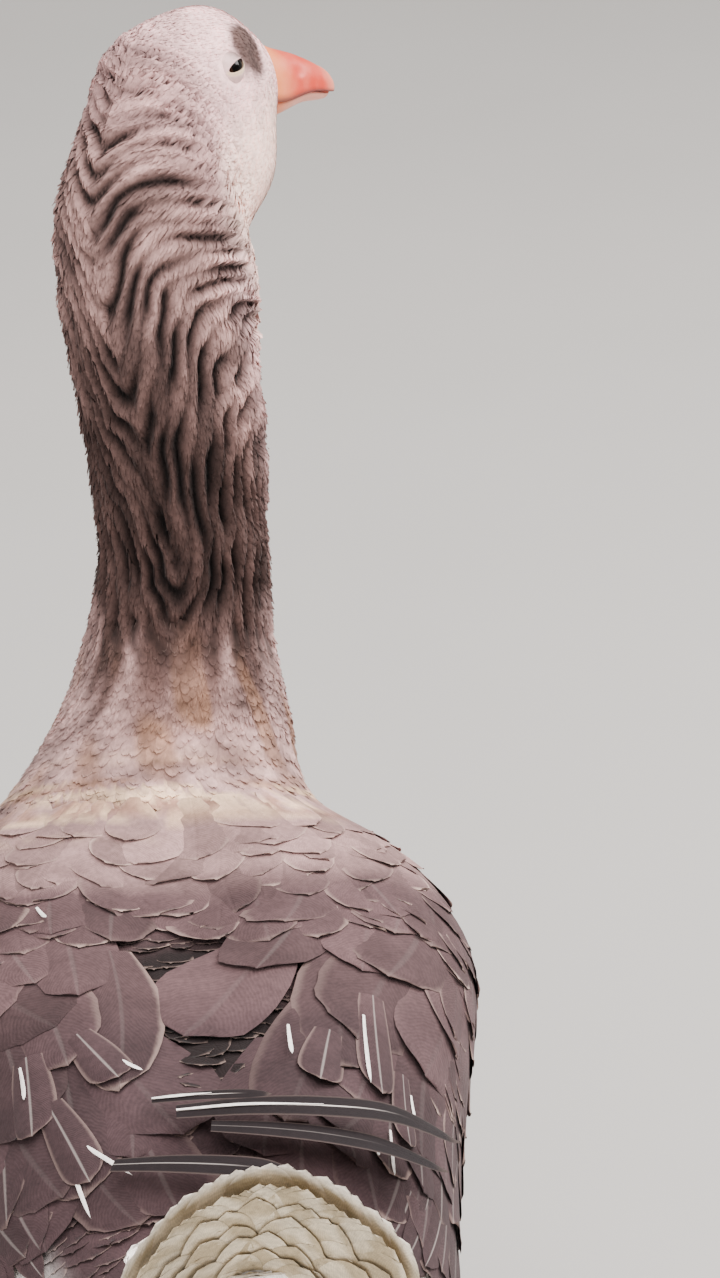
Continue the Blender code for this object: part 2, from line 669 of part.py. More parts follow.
def build_tail(paint, chance):
    """Tail core with its fan of vanes, cocked up, and the coverts on both faces of it."""
    tail = body_length("tail", TORSO_END, STATION["core end"], 7, 22, paint)
    vanes = []
    for _, count, length, width, layer, rise, spread, root_spread, across in TAIL_TIERS:
        for place in range(count):
            share = 2 * place / (count - 1) - 1
            long = length * (1 - 0.13 * share**2) * chance.uniform(0.98, 1.02)
            stacked = layer - rise * abs(share) + (0.0004 if share > 0 else 0)
            vanes.append(tail_vane(share, long, width, stacked, math.radians(spread), root_spread, across))
    boolean(tail, "UNION", vanes)
    keep_largest(tail)
    return tail


def bill_axes():
    """Middle of the bill's root and its directions: ahead, up over it and to its right."""
    root = outline(np.zeros(4), np.radians([0, 90, 180, 270]), folds=False).mean(0)
    c, s = math.cos(HEAD_YAW), math.sin(HEAD_YAW)
    yawed = np.array([[c, s, 0], [-s, c, 0], [0, 0, 1]])
    ahead = yawed @ (0, math.cos(BILL_PITCH), -math.sin(BILL_PITCH))
    over = yawed @ (0, math.sin(BILL_PITCH), math.cos(BILL_PITCH))
    return root, ahead, over, yawed @ (1.0, 0, 0)


def bill_ring(points, place):
    """Slide a ring of a bill forward, so that the first ring lies along the front of the head."""
    root, ahead, _, _ = bill_axes()
    front = -section_normal(0.0)
    points = np.array(points)
    slide = (SEAM - (points - root - ahead * BILL_LENGTH * place) @ front) / (ahead @ front)
    return points + ahead * (slide * (1 - place) ** 2)[:, None]


def build_bill(horn):
    """Upper and lower bill, meeting along the mouth line."""
    root, ahead, over, side = bill_axes()
    round_top = np.linspace(0, math.pi, 11)
    round_jaw = np.linspace(0, math.pi, 9)
    upper_rings, lower_rings = [], []
    for place, half, top in BILL_SECTIONS:
        half, top = half * BILL_HALF_WIDTH, top * BILL_DEPTH
        base = root + ahead * BILL_LENGTH * place - over * (MOUTH_DROP + MOUTH_BEND * place**2)
        arc = [
            base + side * half * math.cos(turn) + over * top * power(math.sin(turn), BILL_SQUARENESS)
            for turn in round_top
        ]
        palate = [base + side * half * x + over * PALATE_RISE for x in (-0.55, 0, 0.55)]
        upper_rings.append(bill_ring(arc + palate, place))
        deep = LOWER_BILL_DEPTH * (1 - JAW_TAPER * place**1.4)
        reach = LOWER_BILL_SHARE * place
        base = root + ahead * BILL_LENGTH * reach - over * (MOUTH_DROP + MOUTH_GAP + MOUTH_BEND * reach**2)
        jaw = [
            base + side * half * JAW_WIDTH * math.cos(turn) - over * deep * math.sin(turn)
            for turn in round_jaw
        ]
        lower_rings.append(bill_ring(jaw, reach))
    upper = ring_tube("upper_bill", np.array(upper_rings), horn)
    ring_tube("lower_bill", np.array(lower_rings), horn)
    nostrils = []
    for hand in (-1, 1):
        pit = sphere("nostril", 1.0, 8, 6)
        pit.data.transform(Matrix.Diagonal((*NOSTRIL_SIZE, 1)))
        turn = Matrix((side * hand, ahead, over)).transposed().to_4x4()
        centre = root + ahead * BILL_LENGTH * NOSTRIL_PLACE - over * (MOUTH_DROP - BILL_DEPTH * NOSTRIL_RISE)
        centre = centre + side * hand * BILL_HALF_WIDTH * NOSTRIL_SIDE
        pit.data.transform(Matrix.Translation(Vector(centre)) @ turn)
        nostrils.append(pit)
    boolean(upper, "DIFFERENCE", nostrils)
    keep_largest(upper)


def sphere(name, radius, columns, rows, paint=None):
    """A round ball about the origin."""
    mesh = bpy.data.meshes.new(name)
    shape = bmesh.new()
    bmesh.ops.create_uvsphere(shape, u_segments=columns, v_segments=rows, radius=radius)
    shape.to_mesh(mesh)
    shape.free()
    mesh.shade_smooth()
    return link(name, mesh, paint)


def eyelids(rim, look):
    """An oval ring of lids lying on the head round a point, facing the way the eye looks."""
    turn = np.linspace(0, 2 * math.pi, LID_COLUMNS, endpoint=False)[:, None]
    tilt = np.linspace(0, 2 * math.pi, LID_SIDES, endpoint=False)[None, :]
    out = LID_RADIUS + LID_THICKNESS * np.cos(tilt)
    height = LID_THICKNESS * np.sin(tilt)
    axes = np.broadcast_arrays(out * np.cos(turn), LID_SQUASH * out * np.sin(turn), height)
    faces = []
    for place in range(LID_COLUMNS):
        near, far = place * LID_SIDES, (place + 1) % LID_COLUMNS * LID_SIDES
        for part in range(LID_SIDES):
            after = (part + 1) % LID_SIDES
            faces.append((near + part, near + after, far + after, far + part))
    lid = solid("lid", np.stack(axes, -1).reshape(-1, 3), faces)
    frame = Vector(look).to_track_quat("Z", "Y").to_matrix().to_4x4()
    lid.data.transform(Matrix.Translation(Vector(rim)) @ frame)
    return lid


def build_head(skin, ball):
    """Head with lids round the eye sockets, and the two eyeballs."""
    head = body_length("head", 0, HEAD_END, 14, 30, skin)
    lids, sockets = [], []
    for angle, name in ((math.pi - EYE_ANGLE, "eye_left"), (EYE_ANGLE, "eye_right")):
        rim, _, _, look = surface(np.array(EYE_STATION), np.array(angle), folds=True)
        centre = Vector(rim - look * EYE_DEPTH)
        lids.append(eyelids(rim, look))
        socket = sphere("socket", EYE_RADIUS + SEAM, 14, 9)
        socket.data.transform(Matrix.Translation(centre))
        sockets.append(socket)
        eye = sphere(name, EYE_RADIUS, 14, 9, ball)
        eye.data.transform(Matrix.Translation(centre))
    boolean(head, "UNION", lids)
    boolean(head, "DIFFERENCE", sockets)
    keep_largest(head)


def flat_heading(heading):
    """Level direction at an angle from straight ahead, positive towards the bird's right."""
    return np.array([math.sin(heading), math.cos(heading), 0])


def build_thigh(name, down):
    """Feathered thigh from the knee to just above the ankle, cut clear of the torso."""
    knee, ankle = np.array(KNEE), np.array(ANKLE)
    path = [knee + (ankle - knee) * share for share in THIGH_SHARES] + [ankle + THIGH_END]
    thigh = tube_along(name, path, THIGH_RADII, THIGH_SIDES, down)
    boolean(thigh, "DIFFERENCE", [torso_cutter(SEAM)])
    keep_largest(thigh)
    return thigh


def build_shank(name, scale_skin):
    """Scaled shank from the end of the thigh to the foot's knuckle."""
    knee, ankle, joint = np.array(KNEE), np.array(ANKLE), np.array(FOOT_JOINT)
    end = ankle + THIGH_END
    down_leg = end - knee - (ankle - knee) * THIGH_SHARES[-1]
    down_leg /= np.linalg.norm(down_leg)
    path = [end + down_leg * SEAM, end + down_leg * 0.005, ankle + (0, -0.001, -0.001)]
    path += [ankle + (joint - ankle) * share for share in SHANK_SHARES]
    return tube_along(name, path, SHANK_RADII, SHANK_SIDES, scale_skin)


def build_web():
    """Flat web between the toes, resting on the floor."""
    middle = np.array((*FOOT_JOINT[:2], 0))
    corners = [middle - (0, 0.006, 0)]
    for place, (_, heading, length, _) in enumerate(TOES):
        if place:
            _, last_heading, last_length, _ = TOES[place - 1]
            reach = WEB_REACH * min(last_length, length)
            corners.append(middle + reach * flat_heading((last_heading + heading) / 2))
        corners.append(middle + WEB_END * length * flat_heading(heading))
    count = len(corners)
    high = [corner + (0, 0, WEB_THICKNESS) for corner in corners]
    faces = [tuple(range(count)), tuple(range(count, 2 * count))[::-1]]
    faces += [(i, (i + 1) % count, (i + 1) % count + count, i + count) for i in range(count)]
    return solid("web", corners + high, faces)


def build_foot(name, scale_skin):
    """Knuckle, three webbed toes and the hind toe, and where each claw starts."""
    ankle, joint = np.array(ANKLE), np.array(FOOT_JOINT)
    down_leg = (joint - ankle) / np.linalg.norm(joint - ankle)
    top = ankle + (joint - ankle) * SHANK_SHARES[-1] + down_leg * SEAM
    foot = tube_along(name, [top, joint], KNUCKLE_RADII, SHANK_SIDES, scale_skin)
    parts, tips = [build_web()], []
    for _, heading, length, radius in TOES:
        ahead = flat_heading(heading)
        path = [joint + ahead * length * share - (0, 0, drop) for share, drop, _ in TOE_LINE]
        radii = [radius * share for _, _, share in TOE_LINE]
        parts.append(tube_along("toe", path, radii, TOE_SIDES, floor=0))
        tips.append((path[-1], ahead, radii[-1], CLAW_LENGTH))
    hind = np.array(HIND_HEADING) / np.linalg.norm(HIND_HEADING)
    path = [joint + HIND_ROOT + hind * place for place in HIND_PLACES]
    parts.append(tube_along("hind toe", path, HIND_RADII, TOE_SIDES, floor=HIND_FLOOR))
    tips.append((path[-1], hind, HIND_RADII[-1], HIND_CLAW_LENGTH))
    boolean(foot, "UNION", parts)
    keep_largest(foot)
    return foot, tips


def build_claw(name, tip, ahead, radius, length, claw_horn):
    """A blunt claw that starts a seam past the end of its toe."""
    start = tip + ahead * SEAM
    path = [start, start + ahead * length / 2 + (0, 0, CLAW_RISE), start + ahead * length - (0, 0, CLAW_DROP)]
    radii = [radius * share for share in CLAW_SHARES]
    return tube_along(name, path, radii, TOE_SIDES, claw_horn, floor=CLAW_RISE)


def build_leg(hand, side, down, scale_skin, claw_horn):
    """Thigh, shank, foot and claws of one leg; hand is 1 on the bird's right and -1 on its left."""
    foot, tips = build_foot(f"foot_{side}", scale_skin)
    made = [build_thigh(f"thigh_{side}", down), build_shank(f"shank_{side}", scale_skin), foot]
    made += [build_claw(f"claw_{side}_{place + 1}", *tip, claw_horn) for place, tip in enumerate(tips)]
    if hand < 0:
        for obj in made:
            mirrored(obj)


def main():
    """Build every sub-part, then centre the bird over the origin."""
    for obj in list(bpy.data.objects):
        bpy.data.objects.remove(obj)
    chance = random.Random(11)
    plumage = material("plumage", (0.25, 0.2, 0.19), 0.8)
    horn = material("bill horn", (0.85, 0.35, 0.2), 0.4)
    ball = material("eye", (0.06, 0.03, 0.02), 0.1)
    scales = material("leg skin", (0.8, 0.35, 0.12), 0.5)
    claw_horn = material("claw horn", (0.5, 0.4, 0.33), 0.4)
    build_head(plumage, ball)
    build_bill(horn)
    body_length("neck", HEAD_END, NECK_END, 16, 2 * FURROWS, plumage, furrowed=True)
    body_length("torso", NECK_END, TORSO_END, TORSO_ROWS, TORSO_COLUMNS, plumage)
    build_tail(plumage, chance)
    build_wing("wing_right", 1, plumage, chance)
    build_wing("wing_left", -1, plumage, chance)
    build_leg(1, "right", plumage, scales, claw_horn)
    build_leg(-1, "left", plumage, scales, claw_horn)
    for obj in bpy.data.objects:
        obj.data.transform(Matrix.Translation((0, CENTRE_SHIFT, 0)))


main()
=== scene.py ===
"""Looks of a young heavy goose that stands with its head turned to its right.

Metres, +Z up, +Y the way the breast faces, +X the bird's right. The flesh is one tube of plane
sections. Every feather is laid on that tube, from a root at a station along it and an angle
round it, where 0 is the bird's right side and 90 degrees the line of the back.
"""

from __future__ import annotations

import logging
import math
from collections.abc import Callable
from dataclasses import dataclass, field
from enum import Enum

import bmesh
import bpy
import numpy as np
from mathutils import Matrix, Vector


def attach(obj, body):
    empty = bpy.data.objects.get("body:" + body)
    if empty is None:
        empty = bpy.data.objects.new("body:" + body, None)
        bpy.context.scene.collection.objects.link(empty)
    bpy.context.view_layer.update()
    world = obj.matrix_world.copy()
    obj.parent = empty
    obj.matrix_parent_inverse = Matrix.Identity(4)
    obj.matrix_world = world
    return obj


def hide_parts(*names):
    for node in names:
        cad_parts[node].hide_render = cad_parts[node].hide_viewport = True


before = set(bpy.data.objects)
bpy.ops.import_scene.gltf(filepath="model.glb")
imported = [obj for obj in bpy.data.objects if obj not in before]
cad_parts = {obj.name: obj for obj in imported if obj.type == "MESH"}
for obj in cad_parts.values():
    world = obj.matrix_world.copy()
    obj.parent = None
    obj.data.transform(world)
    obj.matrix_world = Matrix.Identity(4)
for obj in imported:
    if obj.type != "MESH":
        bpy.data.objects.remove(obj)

log = logging.getLogger("goose")

Array = np.ndarray
Object = bpy.types.Object
Socket = bpy.types.NodeSocket
Material = bpy.types.Material
Random = np.random.Generator

CENTRE_SHIFT = 0.0487
NECK_AXIS_Y = 0.134
HEAD_YAW = math.radians(49)
CROWN_HEIGHT = 0.7235
BELLY_CLEARANCE = 0.112
BREAST_REACH = 0.212
BODY_HALF_WIDTH = 0.1218
NECK_HALF_WIDTH = 0.0368
NECK_SWAY = 0.0167

# Stations along the bird: name, back-side point (y, z), belly-side point (y, z), sway to the
# bird's right, half width, share of the depth below the widest place, squareness.
STATIONS = (
    ("bill root", (0.1935, 0.7050), (0.1925, 0.6650), 0.0050, 0.0190, 0.42, 2.0),
    ("lore", (0.1820, 0.7150), (0.1895, 0.6530), 0.0052, 0.0235, 0.40, 2.0),
    ("eye", (0.1680, 0.7222), (0.1855, 0.6402), 0.0056, 0.0272, 0.38, 2.1),
    ("cheek", (0.1454, CROWN_HEIGHT), (0.1737, 0.6294), 0.0072, 0.0314, 0.38, 2.1),
    ("hind crown", (0.1191, 0.7175), (0.1584, 0.6114), 0.0095, 0.0367, 0.42, 2.1),
    ("nape", (0.0961, 0.6980), (0.1580, 0.5874), 0.0173, 0.0408, 0.46, 2.0),
    ("upper neck", (0.0785, 0.6640), (0.1619, 0.5583), 0.0160, 0.0426, 0.50, 2.0),
    ("neck 1", (0.0723, 0.6230), (0.1665, 0.5271), NECK_SWAY, 0.0415, 0.50, 2.0),
    ("neck 2", (0.0763, 0.5780), (0.1701, 0.4940), 0.0166, 0.0384, 0.50, 2.0),
    ("neck 3", (0.0855, 0.5320), (0.1717, 0.4640), 0.0162, NECK_HALF_WIDTH, 0.50, 2.0),
    ("neck 4", (0.0934, 0.4900), (0.1752, 0.4320), 0.0152, 0.0385, 0.50, 2.0),
    ("neck 5", (0.0964, 0.4530), (0.1810, 0.3960), 0.0121, 0.0445, 0.50, 2.0),
    ("neck base", (0.0931, 0.4200), (0.1930, 0.3540), 0.0084, 0.0557, 0.50, 2.0),
    ("shoulder", (0.0800, 0.3950), (0.2070, 0.3020), 0.0, 0.0719, 0.55, 2.15),
    ("breast", (0.0570, 0.3790), (BREAST_REACH, 0.2400), 0.0, 0.1004, 0.61, 2.4),
    ("keel front", (0.0240, 0.3700), (0.1950, 0.1780), 0.0, 0.1201, 0.66, 2.55),
    ("keel", (-0.0140, 0.3640), (0.1480, 0.1290), 0.0, BODY_HALF_WIDTH, 0.66, 2.6),
    ("middle", (-0.0540, 0.3580), (0.0780, BELLY_CLEARANCE), 0.0, 0.1120, 0.63, 2.55),
    ("belly", (-0.0940, 0.3500), (0.0000, BELLY_CLEARANCE), 0.0, 0.1040, 0.57, 2.45),
    ("loin", (-0.1320, 0.3400), (-0.0770, 0.1150), 0.0, 0.0985, 0.55, 2.35),
    ("rump", (-0.1660, 0.3290), (-0.1500, 0.1320), 0.0, 0.0930, 0.53, 2.3),
    ("vent", (-0.1920, 0.3210), (-0.2080, 0.1720), 0.0, 0.0790, 0.52, 2.2),
    ("tail root", (-0.2100, 0.3220), (-0.2430, 0.2240), 0.0, 0.0640, 0.50, 2.1),
    ("tail base", (-0.2230, 0.3320), (-0.2600, 0.2790), 0.0, 0.0510, 0.50, 2.0),
    ("tail core", (-0.2350, 0.3490), (-0.2660, 0.3230), 0.0, 0.0440, 0.50, 2.0),
    ("core end", (-0.2480, 0.3700), (-0.2640, 0.3600), 0.0, 0.0400, 0.50, 2.0),
)
LAST_STATION = len(STATIONS) - 1
HEAD_END = 5.0
NECK_BASE = 12.0

# Side of a feather's patch on the bake map, and the place and marks of a skin on the vane's maps.
BAKE_PATCH = 0.003
SKIN_PLACE = 0.3
SKIN_MARKS = (0.5, 0.5, 0.0)

# A value along a surface, and an array of values over stations and angles.
Along = Callable[[float], float]
Places = Callable[[Array, Array], Array]


def colour(red: float, green: float, blue: float) -> Array:
    """Linear light from a colour as a screen shows it, 0 to 255."""
    shown = np.array([red, green, blue]) / 255
    return np.where(shown <= 0.04045, shown / 12.92, ((shown + 0.055) / 1.055) ** 2.4)


def ease(low: float, high: float, at: Array) -> Array:
    """0 before low, 1 after high, and 3t^2 - 2t^3 between."""
    part = np.clip((np.asarray(at, float) - low) / (high - low), 0, 1)
    return part * part * (3 - 2 * part)


def bump(middle: float, reach: float, at: Array) -> Array:
    """1 at the middle and 0 beyond reach on either side, smooth between."""
    return 1 - ease(0, reach, np.abs(np.asarray(at, float) - middle))


def power(value: Array, exponent: Array) -> Array:
    """Power that keeps the sign of its base."""
    return np.sign(value) * np.abs(value) ** exponent


def unit(vectors: Array) -> Array:
    """Vectors brought to a length of 1."""
    return vectors / np.linalg.norm(vectors, axis=-1, keepdims=True)


def full_turn(count: int) -> Array:
    """Evenly spaced angles over a full turn."""
    return np.linspace(0, 2 * math.pi, count, endpoint=False)


def waves(seed: int, *axes: Array, count: int = 5) -> Array:
    """Smooth noise between about -1 and 1: a sum of sines with random slopes over the axes.

    Args:
        seed: Seed of the slopes.
        axes: Arrays to vary over.
        count: Number of sines.

    Returns:
        The noise.
    """
    chance = np.random.default_rng(seed)
    total = 0.0
    for _ in range(count):
        phase = chance.uniform(0, 2 * math.pi)
        for axis in axes:
            phase = phase + axis * chance.uniform(-1, 1) * 2.2
        total = total + np.sin(phase)
    return total / math.sqrt(count) * 0.8


class Side(Enum):
    """A side of the bird, with the sign of x on it."""

    RIGHT = 1
    LEFT = -1


class Surface:
    """A surface that feathers are laid on, by a station along it and an angle round it."""

    last: float = 1.0

    def outline(self, station: Array, angle: Array) -> Array:
        """Points of the surface at stations and angles."""
        raise NotImplementedError

    def frames(self, station: Array, angle: Array) -> tuple[Array, ...]:
        """Surface points with their steps along and round the surface, and outward normals.

        Args:
            station: Stations of the points.
            angle: Angles of the points.

        Returns:
            Points, change per station, change per radian, and unit normals.
        """
        step = 2e-3
        station = np.clip(station, step, self.last - step)
        here = self.outline(station, angle)
        back = (self.outline(station + step, angle) - self.outline(station - step, angle)) / (2 * step)
        ring = (self.outline(station, angle + step) - self.outline(station, angle - step)) / (2 * step)
        normal = np.cross(ring, back)
        normal /= np.linalg.norm(normal, axis=-1, keepdims=True) + 1e-12
        return here, back, ring, normal

    def unwrap(self, station: Array, angle: Array) -> Array:
        """Place on an unwrap of the surface: across by angle from its underside, up by station."""
        across = np.mod(angle + math.pi / 2, 2 * math.pi) / (2 * math.pi)
        return np.stack([0.01 + 0.98 * across, 0.01 + 0.98 * np.asarray(station) / self.last], -1)


@dataclass(frozen=True)
class Flesh(Surface):
    """The bird's flesh: a tube of rounded plane sections strung on a spline.

    A section is |x / half|^n + |z / depth|^n = 1 in its own plane, with n its squareness. The
    head is turned about the upright axis of the neck, and the turn fades out down the neck.
    """

    last: float = LAST_STATION
    pouch: float = 0.0085
    pouch_station: float = 2.0
    cheek: float = 0.0045
    brow: float = 0.0018
    lore: float = 0.0034

    def row(self, station: Array) -> Array:
        """Values of the sections at each station, from a natural cubic spline through the table.

        Args:
            station: Stations along the bird.

        Returns:
            The values, in the last axis.
        """
        values = np.array([(*back, *belly, *rest) for _, back, belly, *rest in STATIONS])
        count = len(values)
        matrix = 4.0 * np.eye(count) + np.eye(count, k=1) + np.eye(count, k=-1)
        matrix[0, :2], matrix[-1, -2:] = (2, 1), (1, 2)
        padded = np.vstack([values[:1], values, values[-1:]])
        slopes = np.linalg.solve(matrix, 3 * (padded[2:] - padded[:-2]))
        at = np.clip(station, 0, count - 1)
        low = np.minimum(at.astype(int), count - 2)
        part = (at - low)[..., None]
        return (
            values[low] * (1 + 2 * part) * (1 - part) ** 2
            + values[low + 1] * part**2 * (3 - 2 * part)
            + slopes[low] * part * (1 - part) ** 2
            - slopes[low + 1] * part**2 * (1 - part)
        )

    def relief(self, station: Array, angle: Array) -> Array:
        """Height of the throat pouch, cheeks, brow and lore above the plain tube.

        Args:
            station: Stations of the places.
            angle: Their angles.

        Returns:
            Heights in metres.
        """
        below = np.abs(np.mod(angle + 1.5 * math.pi, 2 * math.pi) - math.pi)
        rise = np.sin(angle)
        pouch = self.pouch * bump(self.pouch_station, 2.4, station) * (1 - ease(0.0, 0.75, below))
        fold = 0.22 * self.pouch * bump(self.pouch_station + 0.8, 2.4, station) * bump(0.62, 0.24, below)
        cheek = self.cheek * bump(3.0, 1.9, station) * bump(-0.35, 0.7, rise)
        brow = self.brow * bump(2.2, 1.3, station) * bump(0.80, 0.18, rise)
        lore = self.lore * bump(1.35, 0.85, station) * bump(0.60, 0.26, rise)
        return pouch - fold + cheek + brow - lore

    def outline(self, station: Array, angle: Array) -> Array:
        """Points of the flesh at stations and angles.

        Args:
            station: Stations of the places.
            angle: Their angles.

        Returns:
            The points.
        """
        station, angle = np.broadcast_arrays(np.asarray(station, float), np.asarray(angle, float))
        row = self.row(station)
        back, belly = row[..., 0:2], row[..., 2:4]
        sway, half, share, square = (row[..., column] for column in range(4, 8))
        depth = np.linalg.norm(back - belly, axis=-1)
        across = half * power(np.cos(angle), 2 / square)
        rise = power(np.sin(angle), 2 / square)
        along = rise * np.where(rise > 0, 1 - share, share) * depth
        scale = (1 + self.relief(station, angle) / np.hypot(across, along))[..., None]
        middle = belly + share[..., None] * (back - belly)
        in_plane = middle + along[..., None] * scale * (back - belly) / depth[..., None]
        x, y = across * scale[..., 0], in_plane[..., 0] - NECK_AXIS_Y
        yaw = HEAD_YAW * (1 - ease(HEAD_END, NECK_BASE, station))
        c, s = np.cos(yaw), np.sin(yaw)
        turned_x = x * c + y * s + np.maximum(sway, 0)
        turned_y = NECK_AXIS_Y + y * c - x * s + CENTRE_SHIFT
        return np.stack([turned_x, turned_y, in_plane[..., 1]], -1)


FLESH = Flesh()


@dataclass(frozen=True)
class Furrows:
    """Ridges and furrows of the neck, running down and away from the throat to meet at the nape.

    A furrow is a line of equal q = girth |w| + T(s), where w is the angle from the back line and
    T grows with the slope of the furrows, steep at the top and nearly upright further down.
    """

    pitch: float = 0.0068
    crest: float = 0.0009
    depth: float = 0.0048
    girth: float = 0.040
    spacing: float = 0.040
    steady: float = 0.12
    slant: float = 0.80
    top: float = 5.0
    reach: float = 2.1

    def off_back(self, angle: Array) -> Array:
        """Angle from the back line, between -180 and 180 degrees."""
        return np.mod(angle + math.pi / 2, 2 * math.pi) - math.pi

    def slope(self, station: Array) -> Array:
        """Tangent of the furrows' turn from the neck's length."""
        return self.steady + self.slant * np.exp(-(np.maximum(station, 3.0) - self.top) / self.reach)

    def heading(self, station: Array, angle: Array) -> Array:
        """Heading of the feathers, along the furrows.

        Args:
            station: Stations of the places.
            angle: Their angles.

        Returns:
            Headings in radians.
        """
        off = self.off_back(angle)
        lean = np.tanh(off / 0.22) * np.tanh((math.pi - np.abs(off)) / 0.4)
        return (
            -np.arctan(self.slope(station)) * lean
            * ease(2.5, 5.2, station) * (1 - 0.8 * ease(10.5, 12.0, station))
        )

    def share(self, station: Array, angle: Array) -> Array:
        """How deep the furrows are, 0 on the head and the collar and 1 on the neck.

        Args:
            station: Stations of the places.
            angle: Their angles.

        Returns:
            Shares from 0 to 1.
        """
        behind = 0.5 + 0.5 * np.cos(self.off_back(angle))
        start = ease(3.5, 6.0, station + 1.2 * behind)
        return start * (1 - ease(10.2, 12.2, station + 0.5 * (1 - behind)))

    def parts(self, station: Array, angle: Array) -> tuple[Array, Array]:
        """How far a place lies in a furrow, and how bright its ridge is, as a painted highlight that also
        raises the ridge.

        With d the distance to the nearest furrow in ridge widths and o how open that furrow is
        there, its depth is o exp(-(d / (0.12 + 0.20 o))^2). A furrow opens and closes along its
        length, so that it breaks into long slits.

        Args:
            station: Stations of the places.
            angle: Their angles.

        Returns:
            The depth from 0 to 1, and the brightness.
        """
        off = self.off_back(angle)
        run = self.steady * station - self.slant * self.reach * np.exp(-(station - self.top) / self.reach)
        along = self.girth * np.sqrt(off**2 + 0.01) + self.spacing * run
        warp = 0.50 * waves(41, 2.0 * station, 2.4 * off) + 0.14 * waves(42, 7.0 * station, 5.0 * off)
        place = along / self.pitch + warp
        number, ridge = np.round(place), np.floor(place)
        chance = np.mod(np.sin(number * 12.9898) * 43758.5453, 1.0)
        swell = np.mod(np.sin(ridge * 78.233) * 24634.6345, 1.0)
        side = np.sign(off)
        wide = np.sin(station * (2.6 + 3.2 * chance) + 40 * chance + side)
        opened = np.clip(0.80 + 0.60 * wide, 0.08, 1.0)
        dark = opened * np.exp(-(((place - number) / (0.12 + 0.20 * opened)) ** 2))
        # Ridge brightness: a painted highlight that also sets how high the ridge stands.
        light = 0.78 + 0.56 * swell + 0.28 * np.sin(station * (3.0 + 2.0 * swell) + 30 * swell + side)
        return dark, light

    def bed(self, station: Array, angle: Array) -> Array:
        """Height of the furrowed coat above the plain flesh."""
        dark, light = self.parts(station, angle)
        return self.share(station, angle) * (self.crest * light - self.depth * dark)

    def shade(self, station: Array, angle: Array) -> Array:
        """Coat brightness: dark in the furrows, partly darker feather roots and partly painted shade, with
        painted highlights on the ridges and painted light on the lit throat side.

        Args:
            station: Stations of the places.
            angle: Their angles.

        Returns:
            Brightness, 1 where there are no furrows.
        """
        dark, light = self.parts(station, angle)
        # Painted light: a brighter patch on the lit throat side of the neck.
        lit = 1 + 0.9 * bump(-0.05, 0.62, angle) * bump(7.3, 2.6, station)
        return 1 + self.share(station, angle) * (light * lit * (1 - 0.97 * dark) - 1)


FURROWS = Furrows()


